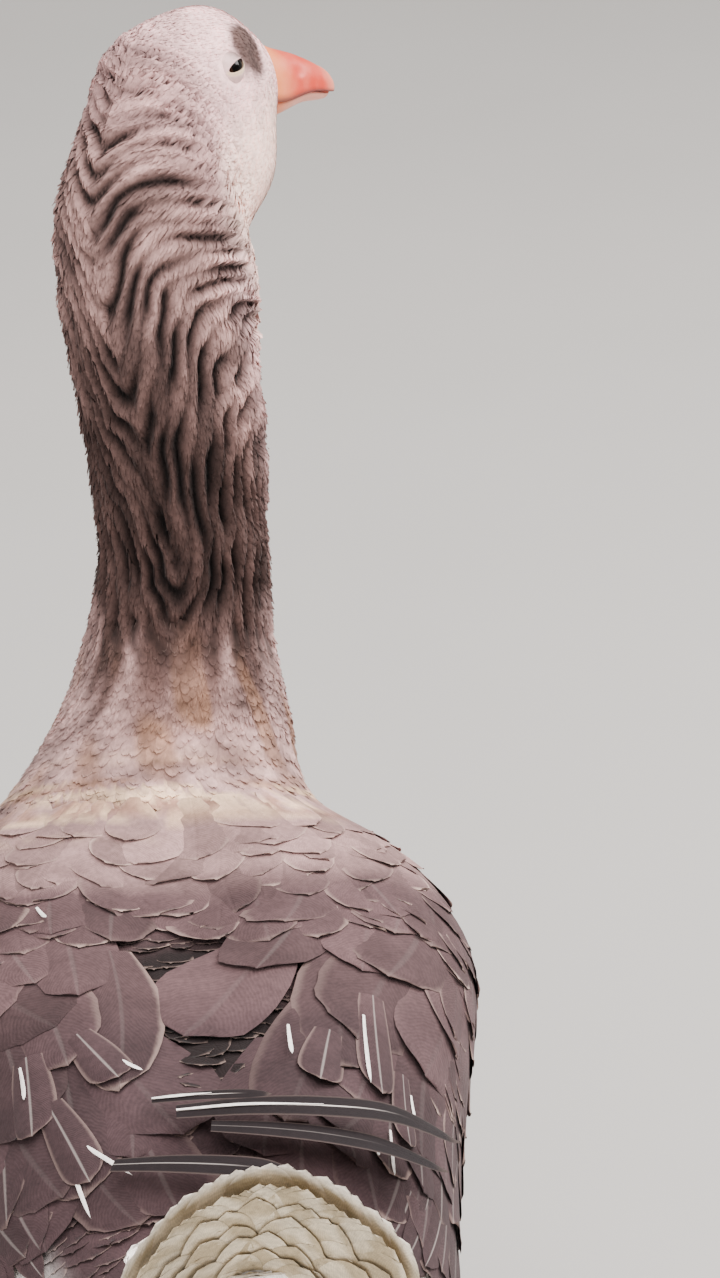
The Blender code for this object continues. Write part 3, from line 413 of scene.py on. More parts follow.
@dataclass(frozen=True)
class Coat:
    """Colours of the plumage by region, and how much of each a place on the bird takes."""

    crown: tuple = (250, 206, 204)
    cheek: tuple = (255, 220, 206)
    throat: tuple = (228, 188, 178)
    lore: tuple = (74, 54, 48)
    nape: tuple = (184, 146, 143)
    upper_neck: tuple = (160, 127, 121)
    lower_neck: tuple = (78, 59, 55)
    collar: tuple = (184, 150, 145)
    shade: tuple = (132, 101, 94)
    breast: tuple = (150, 122, 116)
    shoulder: tuple = (154, 124, 121)
    back: tuple = (86, 66, 67)
    loin: tuple = (66, 50, 52)
    # Painted shade of the dip between the wings along the back line.
    hollow_shade: tuple = (30, 22, 22)
    flank: tuple = (112, 92, 88)
    white: tuple = (244, 238, 232)
    tan: tuple = (146, 108, 84)
    straw: tuple = (238, 204, 166)

    def at(self, station: Array, angle: Array) -> Array:
        """Linear colours at stations and angles, blended from one region into the next, with painted shade
        and highlights mixed in.

        Args:
            station: Stations of the places.
            angle: Their angles.

        Returns:
            Red, green and blue, in the last axis.
        """
        rise = np.sin(angle)
        plain = station
        station = (
            station + 0.22 * waves(21, 3.0 * station, 4.0 * rise)
            + 0.10 * waves(22, 9.0 * angle, 6.0 * station)
        )
        mixed = np.broadcast_to(colour(*self.crown), (*np.shape(station), 3)).copy()

        def over(shade: tuple, share: Array) -> None:
            """Lay a region's colour over what is there by its share."""
            mixed[...] = mixed + np.clip(share, 0, 1)[..., None] * (colour(*shade) - mixed)

        over(self.nape, ease(2.4, 4.6, station) * ease(-0.2, 0.4, rise))
        low = 1 - ease(-0.05, 0.50, rise)
        over(self.cheek, low * (1 - ease(4.4, 6.0, station)) * ease(0.4, 1.0, station))
        over(self.throat, (1 - ease(-0.9, -0.2, rise)) * (1 - ease(5.0, 7.5, station)))
        # Lore patch: partly the lore's own brown and partly painted shade in the dip before the eye.
        up = math.pi / 2 - np.abs(FURROWS.off_back(angle))
        patch = bump(1.70, 1.20, plain) * bump(math.radians(44), math.radians(27), up)
        over(self.lore, 0.95 * ease(0.08, 0.50, patch + 0.05 * waves(29, 9.0 * plain, 12.0 * angle)))
        over(self.upper_neck, ease(4.6, 6.4, station + 0.6 * rise) * (0.70 + 0.30 * ease(-0.6, 0.3, rise)))
        over(self.lower_neck, ease(6.2, 8.6, station) * (0.75 + 0.25 * ease(-0.5, 0.4, rise)))
        streak = 0.55 * waves(23, 1.6 * station, 8 * angle) + 0.40 * waves(24, 2.2 * station, 19 * angle)
        begin = station + streak * bump(11.4, 1.6, plain) + 1.2 * (1 - np.abs(rise))
        over(self.collar, ease(10.8, 12.3, begin))
        middle = np.abs(FURROWS.off_back(angle))
        # Painted shade on the back at the base of the neck, where the neck meets the body.
        over(self.shade, 0.6 * bump(12.0, 1.7, plain + 0.5 * waves(27, 5 * angle)) * bump(0.0, 1.0, middle))
        over(self.breast, ease(13.0, 15.0, station) * (1 - ease(-0.1, 0.4, rise)))
        over(self.shoulder, ease(13.0, 14.0, station) * ease(-0.25, 0.3, rise))
        over(self.back, ease(14.2, 15.4, station) * ease(-0.25, 0.3, rise))
        over(self.flank, ease(15.0, 17.0, station) * (1 - ease(-0.5, 0.0, rise)))
        over(self.loin, ease(16.6, 18.2, station) * ease(0.1, 0.6, rise))
        # Painted shade in the dip between the wings along the back line.
        over(self.hollow_shade, ease(0.1, 0.5, bump(17.2, 2.0, plain) * bump(0.0, 0.42, middle)))
        behind = station + 1.3 * np.clip(-rise, 0, 1)
        over(self.white, ease(18.8, 19.8, behind) * (1 - ease(0.55, 0.80, rise)))
        bars = bump(13.3, 1.0, plain)
        over(self.tan, 0.75 * bars * ease(-0.1, 0.5, waves(31, 13.0 * plain, 1.6 * angle, count=8)))
        over(self.straw, 0.75 * bars * ease(0.1, 0.6, waves(32, 15.0 * plain, 1.8 * angle, count=8)))
        over(self.tan, 0.75 * bump(12.1, 1.6, plain) * ease(0.0, 0.6, waves(33, 4.0 * plain, 6.0 * angle)))
        over(self.straw, 0.7 * ease(21.0, 22.6, plain) * ease(0.3, 0.7, rise))
        mottle = 0.05 + 0.30 * bump(12.4, 2.2, plain)
        blotch = (
            1 + mottle * waves(26, 5.0 * plain, 7.0 * angle, 3.0 * rise)
            + 0.6 * mottle * waves(28, 14.0 * plain, 17.0 * angle)
        )
        # Painted shade in the neck's furrows and painted highlights on its ridges and lit throat side.
        return mixed * (FURROWS.shade(plain, angle) * blotch)[..., None]


COAT = Coat()


@dataclass
class Wiring:
    """Small helper that adds nodes to one tree and joins them."""

    tree: bpy.types.NodeTree

    def node(self, kind: str, **settings: object) -> bpy.types.Node:
        """Add a node of a kind with its settings.

        Args:
            kind: Type of the node.
            settings: Its settings.

        Returns:
            The node.
        """
        made = self.tree.nodes.new(kind)
        for name, value in settings.items():
            setattr(made, name, value)
        return made

    def put(self, value: object, socket: Socket) -> None:
        """Join an output to a socket, or set the socket to a number or colour.

        Args:
            value: An output, number, colour or None.
            socket: The input that takes it.
        """
        if isinstance(value, Socket):
            self.tree.links.new(value, socket)
        elif value is not None:
            socket.default_value = value

    def math(self, operation: str, first: object, second: object = None, clamp: bool = False) -> Socket:
        """One arithmetic step on one or two values.

        Args:
            operation: Name of the step.
            first: First value.
            second: Second value, if any.
            clamp: Whether to keep it between 0 and 1.

        Returns:
            The result.
        """
        made = self.node("ShaderNodeMath", operation=operation, use_clamp=clamp)
        self.put(first, made.inputs[0])
        self.put(second, made.inputs[1])
        return made.outputs[0]

    def times(self, first: object, second: object, clamp: bool = False) -> Socket:
        """Product of two values."""
        return self.math("MULTIPLY", first, second, clamp)

    def plus(self, first: object, second: object) -> Socket:
        """Sum of two values."""
        return self.math("ADD", first, second)

    def minus(self, first: object, second: object) -> Socket:
        """The first value less the second."""
        return self.math("SUBTRACT", first, second)

    def ramp(
        self, value: object, low: float, high: float, to_low: float = 0.0, to_high: float = 1.0,
    ) -> Socket:
        """Smooth step of a value from low to high.

        Args:
            value: The value.
            low: Where the step starts.
            high: Where it ends.
            to_low: Result below low.
            to_high: Result above high.

        Returns:
            The result.
        """
        made = self.node("ShaderNodeMapRange", interpolation_type="SMOOTHSTEP")
        for place, item in enumerate((value, low, high, to_low, to_high)):
            self.put(item, made.inputs[place])
        return made.outputs[0]

    def mix(self, share: object, first: object, second: object, blend: str = "MIX") -> Socket:
        """Blend of two colours by a share.

        Args:
            share: Share of the second colour.
            first: First colour.
            second: Second colour.
            blend: Way of blending.

        Returns:
            The colour.
        """
        made = self.node("ShaderNodeMix", data_type="RGBA", blend_type=blend, clamp_factor=True)
        self.put(share, made.inputs["Factor"])
        for socket, value in ((made.inputs[6], first), (made.inputs[7], second)):
            plain = isinstance(value, (tuple, Array)) and len(value) == 3
            self.put((*value, 1.0) if plain else value, socket)
        return made.outputs[2]

    def grey(self, level: object) -> Socket:
        """Grey colour of a level.

        Args:
            level: The level.

        Returns:
            The colour.
        """
        made = self.node("ShaderNodeCombineColor")
        for place in range(3):
            self.put(level, made.inputs[place])
        return made.outputs[0]

    def noise(self, vector: object, scale: float, detail: float = 3.0, rough: float = 0.55) -> Socket:
        """Fractal noise value at a vector.

        Args:
            vector: The places.
            scale: How fine the pattern is.
            detail: Number of octaves.
            rough: Strength of the finer ones.

        Returns:
            The noise, from 0 to 1.
        """
        made = self.node("ShaderNodeTexNoise")
        self.put(vector, made.inputs["Vector"])
        self.put(scale, made.inputs["Scale"])
        self.put(detail, made.inputs["Detail"])
        self.put(rough, made.inputs["Roughness"])
        return made.outputs["Fac"]

    def world(self) -> Socket:
        """Place in the piece's own frame."""
        return self.node("ShaderNodeTexCoord").outputs["Object"]

    def split_map(self, name: str) -> tuple[Socket, Socket]:
        """Both places of a named UV map.

        Args:
            name: Name of the map.

        Returns:
            Places across and along.
        """
        split = self.node("ShaderNodeSeparateXYZ")
        self.put(self.node("ShaderNodeUVMap", uv_map=name).outputs[0], split.inputs[0])
        return split.outputs[0], split.outputs[1]

    def bump(self, shader: bpy.types.Node, height: object, strength: float, distance: float) -> None:
        """Raise a shader's surface by a height.

        Args:
            shader: The shader.
            height: The height.
            strength: Share of the effect.
            distance: Metres for a height of 1.
        """
        lift = self.node("ShaderNodeBump")
        for name, value in (("Strength", strength), ("Distance", distance), ("Height", height)):
            self.put(value, lift.inputs[name])
        self.put(lift.outputs[0], shader.inputs["Normal"])

    def fix(self, shader: bpy.types.Node, values: dict[str, object]) -> None:
        """Set a shader's own sockets to numbers."""
        for name, value in values.items():
            shader.inputs[name].default_value = value


def new_material(name: str) -> tuple[Material, Wiring, bpy.types.Node]:
    """A material with its wiring and its Principled shader.

    Args:
        name: Name of the material.

    Returns:
        The material, a helper for its nodes, and its shader.
    """
    made = bpy.data.materials.new(name)
    made.use_nodes = True
    return made, Wiring(made.node_tree), made.node_tree.nodes["Principled BSDF"]


def vane_group() -> bpy.types.NodeTree:
    """Group that reads a vane's own map, 0 to 1 across and along, and puts out its marks.

    Returns:
        A group with Edge, Shaft and Barbs, each a value that changes over the vane.
    """
    group = bpy.data.node_groups.get("Vane marks")
    if group:
        return group
    group = bpy.data.node_groups.new("Vane marks", "ShaderNodeTree")
    group.interface.new_socket("Place", in_out="INPUT", socket_type="NodeSocketVector")
    group.interface.new_socket("Barb count", in_out="INPUT", socket_type="NodeSocketFloat")
    for name in ("Edge", "Shaft", "Barbs"):
        group.interface.new_socket(name, in_out="OUTPUT", socket_type="NodeSocketFloat")
    wire = Wiring(group)
    entry, leave = wire.node("NodeGroupInput"), wire.node("NodeGroupOutput")
    split = wire.node("ShaderNodeSeparateXYZ")
    wire.put(entry.outputs["Place"], split.inputs[0])
    side = wire.math("ABSOLUTE", wire.minus(wire.times(split.outputs[0], 2.0), 1.0))
    ragged = wire.times(wire.minus(wire.noise(entry.outputs["Place"], 14.0, 3.0), 0.5), 0.22)
    rim = wire.math("MAXIMUM", wire.math("POWER", side, 3.0), wire.math("POWER", split.outputs[1], 9.0))
    edge = wire.ramp(wire.plus(rim, ragged), 0.50, 0.88)
    shaft = wire.minus(1.0, wire.ramp(side, 0.02, 0.085))
    lean = wire.minus(split.outputs[1], wire.times(side, 0.32))
    wobble = wire.times(wire.noise(entry.outputs["Place"], 5.0, 2.0), 0.10)
    turns = wire.times(wire.plus(lean, wobble), entry.outputs["Barb count"])
    barbs = wire.plus(wire.times(wire.math("SINE", turns), 0.5), 0.5)
    wire.put(edge, leave.inputs["Edge"])
    wire.put(shaft, leave.inputs["Shaft"])
    wire.put(barbs, leave.inputs["Barbs"])
    return group


@dataclass(frozen=True)
class PlumageFinish:
    """Matt feather finish that reads the Coat and Marks attributes and the Vane map.

    Marks holds three values: the vane's own tone, its rim, dark below a half and pale above it,
    and how white its shaft is.
    """

    name: str
    barbs: float = 150.0
    pale: tuple = (206, 178, 166)
    dark: tuple = (40, 29, 28)
    quill: tuple = (240, 230, 222)
    roughness: float = 0.78
    sheen: float = 0.04
    relief: float = 0.35
    rim_share: float = 0.85

    def material(self) -> Material:
        """Build the material.

        Returns:
            The material.
        """
        made, wire, shader = new_material(self.name)
        coat = wire.node("ShaderNodeAttribute", attribute_name="Coat").outputs["Color"]
        marks = wire.node("ShaderNodeSeparateColor")
        wire.put(wire.node("ShaderNodeAttribute", attribute_name="Marks").outputs["Color"], marks.inputs[0])
        tone, rim, white = marks.outputs[0], marks.outputs[1], marks.outputs[2]
        vane = wire.node("ShaderNodeGroup", node_tree=vane_group())
        wire.put(wire.node("ShaderNodeUVMap", uv_map="Vane").outputs[0], vane.inputs["Place"])
        wire.put(self.barbs, vane.inputs["Barb count"])
        edge, shaft, barbs = (vane.outputs[name] for name in ("Edge", "Shaft", "Barbs"))
        world = wire.world()
        fleck = wire.noise(world, 420.0, 4.0, 0.65)
        cloud = wire.noise(world, 46.0, 3.0)
        level = wire.plus(wire.times(tone, 0.62), 0.69)
        level = wire.times(level, wire.ramp(fleck, 0.25, 0.75, 0.82, 1.16))
        level = wire.times(level, wire.ramp(cloud, 0.30, 0.70, 0.86, 1.12))
        level = wire.times(level, wire.plus(wire.times(barbs, 0.14), 0.93))
        body = wire.mix(1.0, coat, wire.grey(level), "MULTIPLY")
        bright = wire.times(edge, wire.times(wire.minus(rim, 0.5), 2.0), clamp=True)
        dim = wire.times(edge, wire.times(wire.minus(0.5, rim), 2.0), clamp=True)
        body = wire.mix(wire.times(bright, self.rim_share), body, colour(*self.pale))
        body = wire.mix(wire.times(dim, self.rim_share), body, colour(*self.dark))
        body = wire.mix(wire.times(shaft, white), body, colour(*self.quill))
        wire.put(body, shader.inputs["Base Color"])
        height = wire.plus(wire.times(barbs, 0.35), wire.times(shaft, 0.8))
        wire.bump(shader, wire.plus(height, wire.times(fleck, 0.8)), self.relief, 0.0006)
        wire.fix(shader, {
            "Roughness": self.roughness, "Specular IOR Level": 0.15, "Sheen Weight": self.sheen,
            "Sheen Roughness": 0.5,
        })
        return made

    def lay_on(self, pieces: list[Object], slot: str, *nodes: str) -> None:
        """Finish pieces with one material, and let the first of them replace nodes.

        Args:
            pieces: The pieces.
            slot: Their slot.
            nodes: Nodes that the first piece replaces.
        """
        made = self.material()
        for place, piece in enumerate(pieces):
            finish_piece(piece, made, slot, *(nodes if place == 0 else ()))


def make_mesh(name: str, points: Array, faces: Array, smooth: bool = True) -> Object:
    """An object at the origin from an array of points and an array of three- or four-sided faces.

    Args:
        name: Name of the object.
        points: Points by xyz.
        faces: Faces by corners.
        smooth: Whether it is shaded smooth.

    Returns:
        The object.
    """
    mesh = bpy.data.meshes.new(name)
    sides = faces.shape[1]
    mesh.vertices.add(len(points))
    mesh.vertices.foreach_set("co", points.astype(np.float32).ravel())
    mesh.loops.add(faces.size)
    mesh.loops.foreach_set("vertex_index", faces.astype(np.int32).ravel())
    mesh.polygons.add(len(faces))
    mesh.polygons.foreach_set("loop_start", np.arange(0, faces.size, sides, dtype=np.int32))
    mesh.update(calc_edges=True)
    mesh.validate()
    if smooth:
        mesh.shade_smooth()
    made = bpy.data.objects.new(name, mesh)
    bpy.context.scene.collection.objects.link(made)
    return made


def add_map(obj: Object, name: str, places: Array) -> None:
    """Add a UV map from one place for each vertex.

    Args:
        obj: The object.
        name: Name of the map.
        places: One place for each vertex.
    """
    mesh = obj.data
    corner = np.empty(len(mesh.loops), np.int32)
    mesh.loops.foreach_get("vertex_index", corner)
    layer = mesh.uv_layers.new(name=name)
    layer.uv.foreach_set("vector", places[corner].astype(np.float32).ravel())


def add_colour(obj: Object, name: str, values: Array) -> None:
    """Add a colour attribute from one colour for each vertex.

    Args:
        obj: The object.
        name: Name of the attribute.
        values: One colour for each vertex.
    """
    layer = obj.data.attributes.new(name, "FLOAT_COLOR", "POINT")
    full = np.concatenate([values, np.ones((len(values), 1))], 1)
    layer.data.foreach_set("color", full.astype(np.float32).ravel())


def grid_faces(rows: int, columns: int, closed: bool = False) -> Array:
    """Four-sided faces over a grid of rows by columns, wound so that the normal is row x column.

    Args:
        rows: Rows of the grid.
        columns: Its columns.
        closed: Whether the last column meets the first.

    Returns:
        Faces by corners.
    """
    index = np.arange(rows * columns).reshape(rows, columns)
    if closed:
        index = np.concatenate([index, index[:, :1]], 1)
    a, b, c, d = index[:-1, :-1], index[:-1, 1:], index[1:, 1:], index[1:, :-1]
    return np.stack([a, b, c, d], -1).reshape(-1, 4)


def closed_tube(name: str, grid: Array, inward: bool = False) -> Object:
    """A closed object from a grid of rings, with a fan of faces to a middle point at each end.

    Each face of a fan has its middle point twice, so that it has four corners as the others have.

    Args:
        name: Name of the object.
        grid: Rings of points, rows by columns by xyz.
        inward: Whether the rings run the other way, so that every face is turned over.

    Returns:
        The object, with the two middle points after those of the grid.
    """
    rows, columns = grid.shape[:2]
    ring = np.arange(columns)
    after = (ring + 1) % columns
    total, last = rows * columns, (rows - 1) * columns
    fans = [
        np.stack([first, second, np.full(columns, middle), np.full(columns, middle)], -1)
        for first, second, middle in ((after, ring, total), (last + ring, last + after, total + 1))
    ]
    faces = np.concatenate([grid_faces(rows, columns, closed=True), *fans])
    points = np.concatenate([grid.reshape(-1, 3), grid[0].mean(0)[None], grid[-1].mean(0)[None]])
    return make_mesh(name, points, faces[:, ::-1] if inward else faces)


def paint_skin(obj: Object, tint: Array, place: Array) -> None:
    """Give a skin its colours, plain marks and unwrap.

    Args:
        obj: The skin.
        tint: Linear colours, one for each vertex.
        place: Places on the unwrap, one for each vertex.
    """
    add_colour(obj, "Coat", tint)
    add_colour(obj, "Marks", np.tile(SKIN_MARKS, (len(tint), 1)))
    add_map(obj, "Vane", np.full(place.shape, SKIN_PLACE))
    add_map(obj, "OFBake", place)


def finish_piece(obj: Object, material: Material, slot: str, *nodes: str) -> None:
    """Give a piece its material, ride it, and let it replace nodes.

    Args:
        obj: The piece.
        material: Its material.
        slot: Not used.
        nodes: Nodes that it replaces.
    """
    obj.data.materials.append(material)
    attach(obj, "root")
    if nodes:
        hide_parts(*nodes)
    obj.data.calc_loop_triangles()
    log.info("%s: %d triangles", obj.name, len(obj.data.loop_triangles))


class Shape(Enum):
    """Outline of a vane: width at the root, place of the widest part, and two powers of its tip.

    Past the widest place the half width falls as (1 - t^n)^m, with t from 0 there to 1 at the tip.
    """

    ROUND = (0.36, 0.56, 2.4, 0.50)
    BROAD = (0.45, 0.62, 2.6, 0.50)
    LANCE = (0.55, 0.38, 1.5, 0.80)
    BLADE = (0.62, 0.72, 2.2, 0.60)
    TUFT = (0.62, 0.34, 1.3, 0.85)

    def widths(self, along: Array) -> Array:
        """Half widths at places along.

        Args:
            along: Places from 0 at the root to 1 at the tip.

        Returns:
            Shares of the greatest half width.
        """
        root, widest, n, m = self.value
        before = root + (1 - root) * np.sin(math.pi / 2 * np.clip(along / widest, 0, 1))
        after = np.clip((along - widest) / (1 - widest), 0, 1)
        return before * (1 - 0.995 * after**n) ** m


@dataclass
class Tract:
    """A field of feathers on the flesh. Every array holds one value for each feather.

    A vane's middle line runs from its root straight over the tube in its heading, 0 rearwards
    and positive towards the bird's left round the back. A point of it stands off the flesh by
    base + root + (tip - root) v^p - arch u^2 + curl v^3 + twist u v, with v along it and u across.
    """

    station: Array
    angle: Array
    heading: Array
    length: Array
    width: Array
    root: Array
    tip: Array
    arch: Array
    curl: Array
    tone: Array
    rim: Array
    quill: Array
    slide: Array = field(default_factory=lambda: np.zeros(1))
    twist: Array = field(default_factory=lambda: np.zeros(1))
    shape: Shape = Shape.ROUND
    rows: int = 8
    columns: int = 5
    ragged: float = 0.0
    flesh: Surface = FLESH

    def mesh(
        self, name: str, base: Places | None = None, mirror: bool = False, coat: Places | None = None,
    ) -> Object:
        """Build every vane of the tract into one object.

        Args:
            name: Name of the object.
            base: Height of the coat's bed above the flesh, as a function of station and angle.
            mirror: Whether to reflect the tract to the bird's left side.
            coat: Colours as a function of station and angle, if not those of the flesh below.

        Returns:
            The object, with its Vane and OFBake maps and its Coat and Marks attributes.
        """
        count = len(self.station)
        along = 1 - (1 - np.linspace(0, 1, self.rows)[None, :, None]) ** 2
        hand = np.linspace(-1, 1, self.columns)[None, None, :]
        _, back, ring, _ = self.flesh.frames(self.station, self.angle)
        long = np.linalg.norm(back, axis=-1)
        unit = back / long[:, None]
        shear = np.sum(ring * unit, -1)
        wide = np.linalg.norm(ring - shear[:, None] * unit, axis=-1)

        def steps(heading: Array) -> tuple[Array, Array]:
            """Changes of station and angle for a metre in a heading."""
            turn = np.sin(heading) / wide
            return (np.cos(heading) - shear * turn) / long, turn

        ahead, aside = steps(self.heading), steps(self.heading + math.pi / 2)
        widths = self.shape.widths(along[0, :, 0])[None, :, None]
        chance = np.random.default_rng(count + self.rows)
        notch = 1 + self.ragged * chance.uniform(-1, 0.4, (count, self.rows, 1)) * along**1.5
        reach = hand * widths * notch * self.width[:, None, None] / 2
        bow = self.slide[:, None, None] * along**2
        run = self.length[:, None, None] * along * (1 - 0.03 * hand**2 * along)
        station, angle = (
            start[:, None, None] + ahead[k][:, None, None] * run + aside[k][:, None, None] * (reach + bow)
            for k, start in enumerate((self.station, self.angle))
        )
        here, _, _, normal = self.flesh.frames(station, angle)
        bed = base(station, angle) if base is not None else 0.0
        height = (
            bed
            + self.root[:, None, None]
            + (self.tip - self.root)[:, None, None] * along**1.3
            - self.arch[:, None, None] * hand**2 * widths
            + self.curl[:, None, None] * along**3
            + self.twist[:, None, None] * hand * along
        )
        points = here + normal * height[..., None]
        if mirror:
            points = points * (-1, 1, 1)
        faces = grid_faces(self.rows, self.columns)
        if not mirror:
            faces = faces[:, ::-1]
        step = self.rows * self.columns
        every = (faces[None] + (np.arange(count) * step)[:, None, None]).reshape(-1, 4)
        obj = make_mesh(name, points.reshape(-1, 3), every)
        shape = (count, self.rows, self.columns)
        place = np.stack(np.broadcast_arrays(0.5 + 0.5 * hand + 0 * along, along + 0 * hand), -1)
        place = np.broadcast_to(place, (*shape, 2)).reshape(-1, 2)
        add_map(obj, "Vane", place)
        side = np.where(mirror, math.pi - self.angle, self.angle)
        patch = self.flesh.unwrap(self.station, side)[:, None, None, :]
        patch = patch + (place.reshape(*shape, 2) - 0.5) * BAKE_PATCH
        add_map(obj, "OFBake", patch.reshape(-1, 2))
        tint = (coat or COAT.at)(station, angle if not mirror else math.pi - angle)
        add_colour(obj, "Coat", np.broadcast_to(tint, (*shape, 3)).reshape(-1, 3))
        marks = np.stack([self.tone, self.rim, self.quill], -1)[:, None, None, :]
        add_colour(obj, "Marks", np.broadcast_to(marks, (*shape, 3)).reshape(-1, 3))
        return obj


def steady(value: float) -> Along:
    """A value that is the same all along a surface."""
    return lambda station: value


ALL_ROUND = (steady(0.0), steady(2 * math.pi))


def sow(
    chance: Random, first: float, last: float, low: Along, high: Along, pitch: Along,
    spread: Along, jitter: float = 0.3, flesh: Surface = FLESH,
) -> Array:
    """Roots in staggered rows round a surface.

    Args:
        chance: Source of the seeded jitter.
        first: Station of the first row.
        last: Station past which no row starts.
        low: Lowest angle, as a function of station.
        high: Highest angle, as a function of station.
        pitch: Distance between rows in metres, as a function of station.
        spread: Distance between neighbours in a row in metres, as a function of station.
        jitter: Share of the spacing by which a root may stray.
        flesh: Surface that the rows lie on.

    Returns:
        An array of station and angle pairs.
    """
    found = []
    station, odd = first, False
    while station < last:
        _, back, ring, _ = flesh.frames(np.full(24, station), np.linspace(low(station), high(station), 24))
        span = high(station) - low(station)
        girth = np.linalg.norm(ring, axis=-1).mean() * span
        count = max(int(girth / spread(station)), 2)
        place = (np.arange(count) + (0.5 if odd else 0.0)) / count
        angle = low(station) + place * span + chance.uniform(-jitter, jitter, count) * span / count
        step = pitch(station) / np.linalg.norm(back, axis=-1).mean()
        found.append(np.stack([station + chance.uniform(-jitter, jitter, count) * step, angle], -1))
        station += step
        odd = not odd
    return np.concatenate(found)


def wing_bed(station: Array, angle: Array) -> Array:
    """Thickness of the folded wing above the flesh, thinning towards its rim.

    Args:
        station: Stations of the places.
        angle: Their angles.

    Returns:
        Heights in metres.
    """
    front = ease(12.9, 14.4, station)
    rear = 1 - ease(18.8, 20.4, station)
    low = ease(math.radians(-24), math.radians(-6), angle)
    middle = 1 - 0.65 * ease(math.radians(74), math.radians(88), angle)
    swell = 1 + 0.9 * bump(16.6, 2.6, station) * bump(math.radians(28), math.radians(42), angle)
    return 0.0012 + 0.0075 * front * rear * low * middle * swell


@dataclass
class Skin:
    """One seamless skin over head, neck, torso and tail core, sunk under the coat."""

    rows: int = 500
    columns: int = 192
    head_depth: float = 0.0003
    coat_depth: float = 0.0014
    body_depth: float = 0.0012

    def build(self) -> Object:
        """A grid over station and angle, closed at both ends, with the neck's furrows sunk in.

        Returns:
            The skin.
        """
        station = np.linspace(0, LAST_STATION, self.rows)[:, None]
        angle = full_turn(self.columns)[None, :]
        station, angle = np.broadcast_arrays(station, angle)
        here, _, _, normal = FLESH.frames(station, angle)
        depth = (
            self.head_depth + self.coat_depth * ease(3.5, 6.0, station)
            + self.body_depth * ease(11.0, 13.0, station)
        )
        points = here + normal * (FURROWS.bed(station, angle) - depth)[..., None]
        points[0] = points[0].mean(0) + (points[0] - points[0].mean(0)) * 0.98
        obj = closed_tube("skin", points)
        tint = COAT.at(station, angle).reshape(-1, 3)
        # Painted shade: the skin is darker from the upper neck back, where it shows between the feathers and
        # in the furrows.
        tint = tint * (1 - 0.5 * ease(5.0, 6.5, station)).reshape(-1, 1)
        place = FLESH.unwrap(station, angle).reshape(-1, 2)
        paint_skin(obj, *(np.concatenate([rows, rows[:1], rows[-1:]]) for rows in (tint, place)))
        return obj
    def dress(self, obj: Object) -> None:
        """Velvet finish, and the flesh nodes that the skin stands for."""
        PlumageFinish("skin down", relief=0.5).lay_on([obj], "plumage", "head", "neck", "torso")


@dataclass
class HeadCoat:
    """Very short velvet feathers of the head, longer towards the nape."""

    seed: int = 3
    length: float = 0.0046
    width: float = 0.0017

    def build(self) -> Object:
        """Staggered rows of small tufts from the bill's root to the nape.

        Returns:
            The coat.
        """
        chance = np.random.default_rng(self.seed)
        roots = sow(
            chance, 0.06, 5.2, *ALL_ROUND,
            lambda s: 0.0021 + 0.0003 * max(s - 3, 0), lambda s: 0.00135 + 0.0002 * max(s - 3, 0), 0.45,
        )
        station, angle = roots[:, 0], roots[:, 1]
        keep = self.clear_of_eyes(station, angle)
        station, angle = station[keep], angle[keep]
        count = len(station)
        grow = 1 + 0.9 * ease(3.2, 5.4, station) - 0.40 * (1 - ease(0.3, 1.6, station))
        tract = Tract(
            station, angle, FURROWS.heading(station, angle) + chance.normal(0, 0.10, count),
            self.length * grow * chance.uniform(0.8, 1.2, count), self.width * grow, np.full(count, -0.0003),
            0.00005 + 0.00007 * chance.random(count) + 0.00015 * ease(3.8, 5.2, station),
            self.width * grow * 0.03, np.zeros(count),
            np.clip(chance.normal(0.5, 0.06, count), 0, 1), np.full(count, 0.50), np.zeros(count),
            shape=Shape.TUFT, rows=4, columns=3,
        )
        return tract.mesh("head_coat", FURROWS.bed)

    @staticmethod
    def clear_of_eyes(station: Array, angle: Array) -> Array:
        """Whether a root is clear of the lids of both eyes.

        Args:
            station: Stations of the places.
            angle: Their angles.

        Returns:
            True where it is clear.
        """
        here = FLESH.outline(station, angle)
        clear = np.ones(len(station), bool)
        for side in Side:
            centre, _ = Eyes().socket(side)
            clear &= np.linalg.norm(here - centre, axis=-1) > Eyes.skirt - 0.0010
        return clear

    def dress(self, obj: Object) -> None:
        """Velvet feather finish."""
        PlumageFinish("head velvet", barbs=40.0, relief=0.2).lay_on([obj], "plumage")


